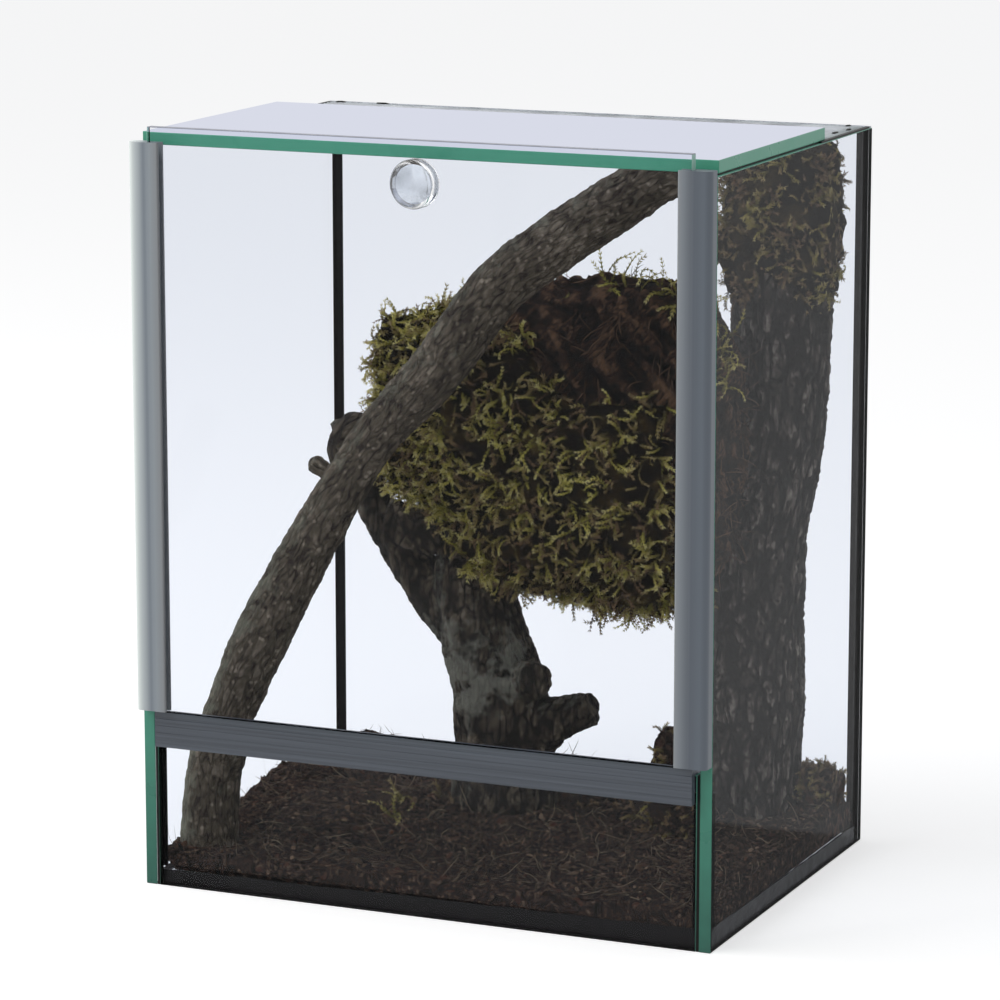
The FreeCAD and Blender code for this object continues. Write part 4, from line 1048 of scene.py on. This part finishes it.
settle(chunk, "root_ball", "terrarium", ["bark_chunk"])

collar = recast("trunk_moss", 1.1, 5)
weather(collar, mat_relief, 2.6)
collar.data.materials.append(felt)
collar_spots = spots_on(collar, 4200, draw, lambda spot, normal: 0.1 + 0.9 * clumpy(spot, 9.0, 0.0))
settle(collar, "moss_felt_on_trunk", "terrarium", ["trunk_moss"])
collar_sprigs = Tangle()
grow_moss(collar_sprigs, collar_spots[:1800], draw, (4, 9),
          lambda spot: 0.95 - 0.3 * clumpy(spot, 12.0, 0.15), (0, -0.2, -0.5))
collar_sprigs.piece("moss_sprigs_on_trunk", leaf, "moss")


# Soil: loose peat and bark compost poured on the base pane, dark and full of crumbs.
# Pale roots and red-brown chips lie in it.
def loose_soil():
    """Peat and compost, poured: almost black, with red-brown crumbs."""
    material, tree = new_material("peat_soil_loose")
    place = add_node(tree, "TexCoord").outputs["Object"]
    crumb = add_node(tree, "TexNoise", {"Vector": place, "Scale": 560.0, "Detail": 6.0, "Roughness": 0.75})
    chip = add_node(tree, "TexVoronoi", {"Vector": place, "Scale": 420.0})
    tone = add_node(tree, "ValToRGB", {0: crumb.outputs["Fac"]},
                    stops=((0.34, "#0A0807"), (0.48, "#231C18"), (0.58, "#4C3A30"), (0.7, "#927866")))
    red = add_node(tree, "MapRange", {"Value": chip.outputs["Color"], "From Min": 0.86, "From Max": 0.9,
                                      "To Max": 0.6})
    mixed = add_node(tree, "Mix", {"Factor": red.outputs[0], "A": tone.outputs[0], "B": linear("#5A3A2E")},
                     data_type="RGBA")
    bump = add_node(tree, "Bump", {"Height": crumb.outputs["Fac"], "Strength": 1.0, "Distance": 0.0016})
    surface = add_node(tree, "BsdfPrincipled", {"Base Color": mixed.outputs["Result"], "Roughness": 0.95,
                                                "Normal": bump.outputs[0], "Specular IOR Level": 0.15})
    add_node(tree, "OutputMaterial", {"Surface": surface.outputs[0]})
    return material


def soil_relief(spot, normal):
    """Crumbs on the open top only; the sides lie flat against the glass."""
    open_air = soft_step(normal.z, 0.3, 0.8)
    return open_air * (2.1 * noise.fractal(spot * 0.11, 1.0, 2.1, 6) + 1.2 * noise.noise(spot * 0.4))


soil_mix = loose_soil()
soil = recast("substrate", 1.1, 2)
soil_low, soil_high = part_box("substrate")
CHAMFER = 2.3 * MM
for vertex in soil.data.vertices:
    # The loose soil fills the corners against the glass and under the CAD's sloping foot
    reach = CHAMFER if vertex.co.z < soil_low.z + 3 * CHAMFER else 1.3 * MM
    for axis in (0, 1):
        if vertex.co[axis] < soil_low[axis] + reach:
            vertex.co[axis] = soil_low[axis] + 0.05 * MM
        if vertex.co[axis] > soil_high[axis] - reach:
            vertex.co[axis] = soil_high[axis] - 0.05 * MM
    if vertex.co.z < soil_low.z + CHAMFER * 0.65:
        vertex.co.z = soil_low.z + 0.05 * MM
weather(soil, soil_relief, 1.9)
soil.data.materials.append(soil_mix)
SOIL_TOP = 9.0
top_spots = spots_on(soil, 11000, draw, lambda spot, normal: 1.0 if normal.z > 0.4 and spot.z > SOIL_TOP else 0.0)
face_spots = spots_on(soil, 6000, draw, lambda spot, normal: 1.0 if normal.z < 0.3 and spot.z > 7 else 0.0)
settle(soil, "peat_soil", "terrarium", ["substrate"])

root_fibre = ramp_by_age("dry_root_fibre", ((0.0, "#54463A"), (1.0, "#B09C80")), ((0.0, "#2A201A"), (1.0, "#4A392C")),
                         0.85)
roots = Tangle()
for spot, normal in top_spots[:2000] + face_spots[:600]:
    flat = Vector((draw.uniform(-1, 1), draw.uniform(-1, 1), draw.uniform(-0.15, 0.4)))
    flat -= normal * flat.dot(normal) * 0.8
    roots.strand(spot + normal * 0.2, flat, draw.uniform(3, 12), draw.uniform(0.15, 0.4), 0.01, 0.25, 6,
                 1.0 - draw.random() ** 1.7, draw)
roots.piece("roots_in_soil", root_fibre, "soil")

# Crumbs and chips: small lumps of compost, most dark, a few red-brown or pale
bpy.ops.object.select_all(action="DESELECT")
bpy.ops.mesh.primitive_ico_sphere_add(subdivisions=1, radius=1.0)
crumb_shape = bpy.context.object
crumb_spots = [vertex.co.copy() for vertex in crumb_shape.data.vertices]
crumb_faces = [tuple(polygon.vertices) for polygon in crumb_shape.data.polygons]
bpy.data.objects.remove(crumb_shape)
crumbs = Tangle()
for spot, normal in top_spots[2000:7900] + face_spots[600:1900]:
    size = draw.uniform(0.35, 1.1) * (2.0 if draw.random() < 0.04 else 1.0)
    turn = Matrix.Rotation(draw.uniform(0, 6.28), 3, Vector((draw.gauss(0, 1), draw.gauss(0, 1), 1.0)))
    stretch = (draw.uniform(0.8, 1.9), draw.uniform(0.5, 1.0), draw.uniform(0.35, 0.8))
    start = len(crumbs.spots)
    for corner in crumb_spots:
        lump = Vector([part * share * draw.uniform(0.8, 1.2) for part, share in zip(corner, stretch)])
        crumbs.spots.append(spot + turn @ lump * size)
    crumbs.faces += [tuple(start + index for index in face) for face in crumb_faces]
    crumbs.ages += [1.0 - draw.random() ** 4] * len(crumb_spots)
    crumbs.tips += [draw.random()] * len(crumb_spots)
crumbs.piece("crumbs_on_soil", ramp_by_age("compost_crumb", ((0.0, "#6B4A38"), (1.0, "#8E7660")),
                                           ((0.0, "#14100D"), (1.0, "#3A2B22")), 0.9), "soil")

# Clod: rotted bark and moss that leans on the trunk, and sprigs that stand up behind the rail
CLOD = ((56, 8, 14, 8.0), (55, 9, 26, 7.5), (54, 10, 38, 6.0), (54, 10, 46, 4.0), (54, 10, 50, 1.8))
clod = grow_log(CLOD, 48, 60, furrowed, lambda spot, outward: 0.0, 5.5)
clod.data.materials.append(soil_mix)
clod_spots = spots_on(clod, 150, draw, lambda spot, normal: 1.0)
settle(clod, "rotted_clod_by_trunk", "terrarium")
litter = Tangle()
grow_moss(litter, clod_spots, draw, (3, 7), lambda spot: 0.8, (0, 0, 0.5))
for x, y, age in ((-36, -10, 0.3), (-30, 10, 0.5), (-40, 0, 0.3), (21, 20, 0.6), (32, 20, 0.7), (40, 16, 0.8)):
    place = Vector((x, y))
    root, normal = min(top_spots, key=lambda found: (found[0].xy - place).length)
    grow_moss(litter, [(root, Vector((draw.uniform(-0.4, 0.4), draw.uniform(-0.4, 0.4), 1))) for sprig in range(5)],
              draw, (8, 14), lambda spot: age + 0.3, (0, 0, 1.0))
litter.piece("moss_sprigs_in_litter", leaf, "moss")

mound = recast("corner_mound", 1.0, 4)
weather(mound, mat_relief, 2.6)
mound.data.materials.append(soil_mix)
mound_spots = spots_on(mound, 420, draw, lambda spot, normal: 1.0 if normal.z > -0.2 else 0.0)
settle(mound, "mossy_corner_mound", "terrarium", ["corner_mound"])
mound_sprigs = Tangle()
grow_moss(mound_sprigs, mound_spots, draw, (3, 6), lambda spot: 0.9, (0, 0, 0.4))
mound_sprigs.piece("moss_sprigs_on_mound", leaf, "moss")
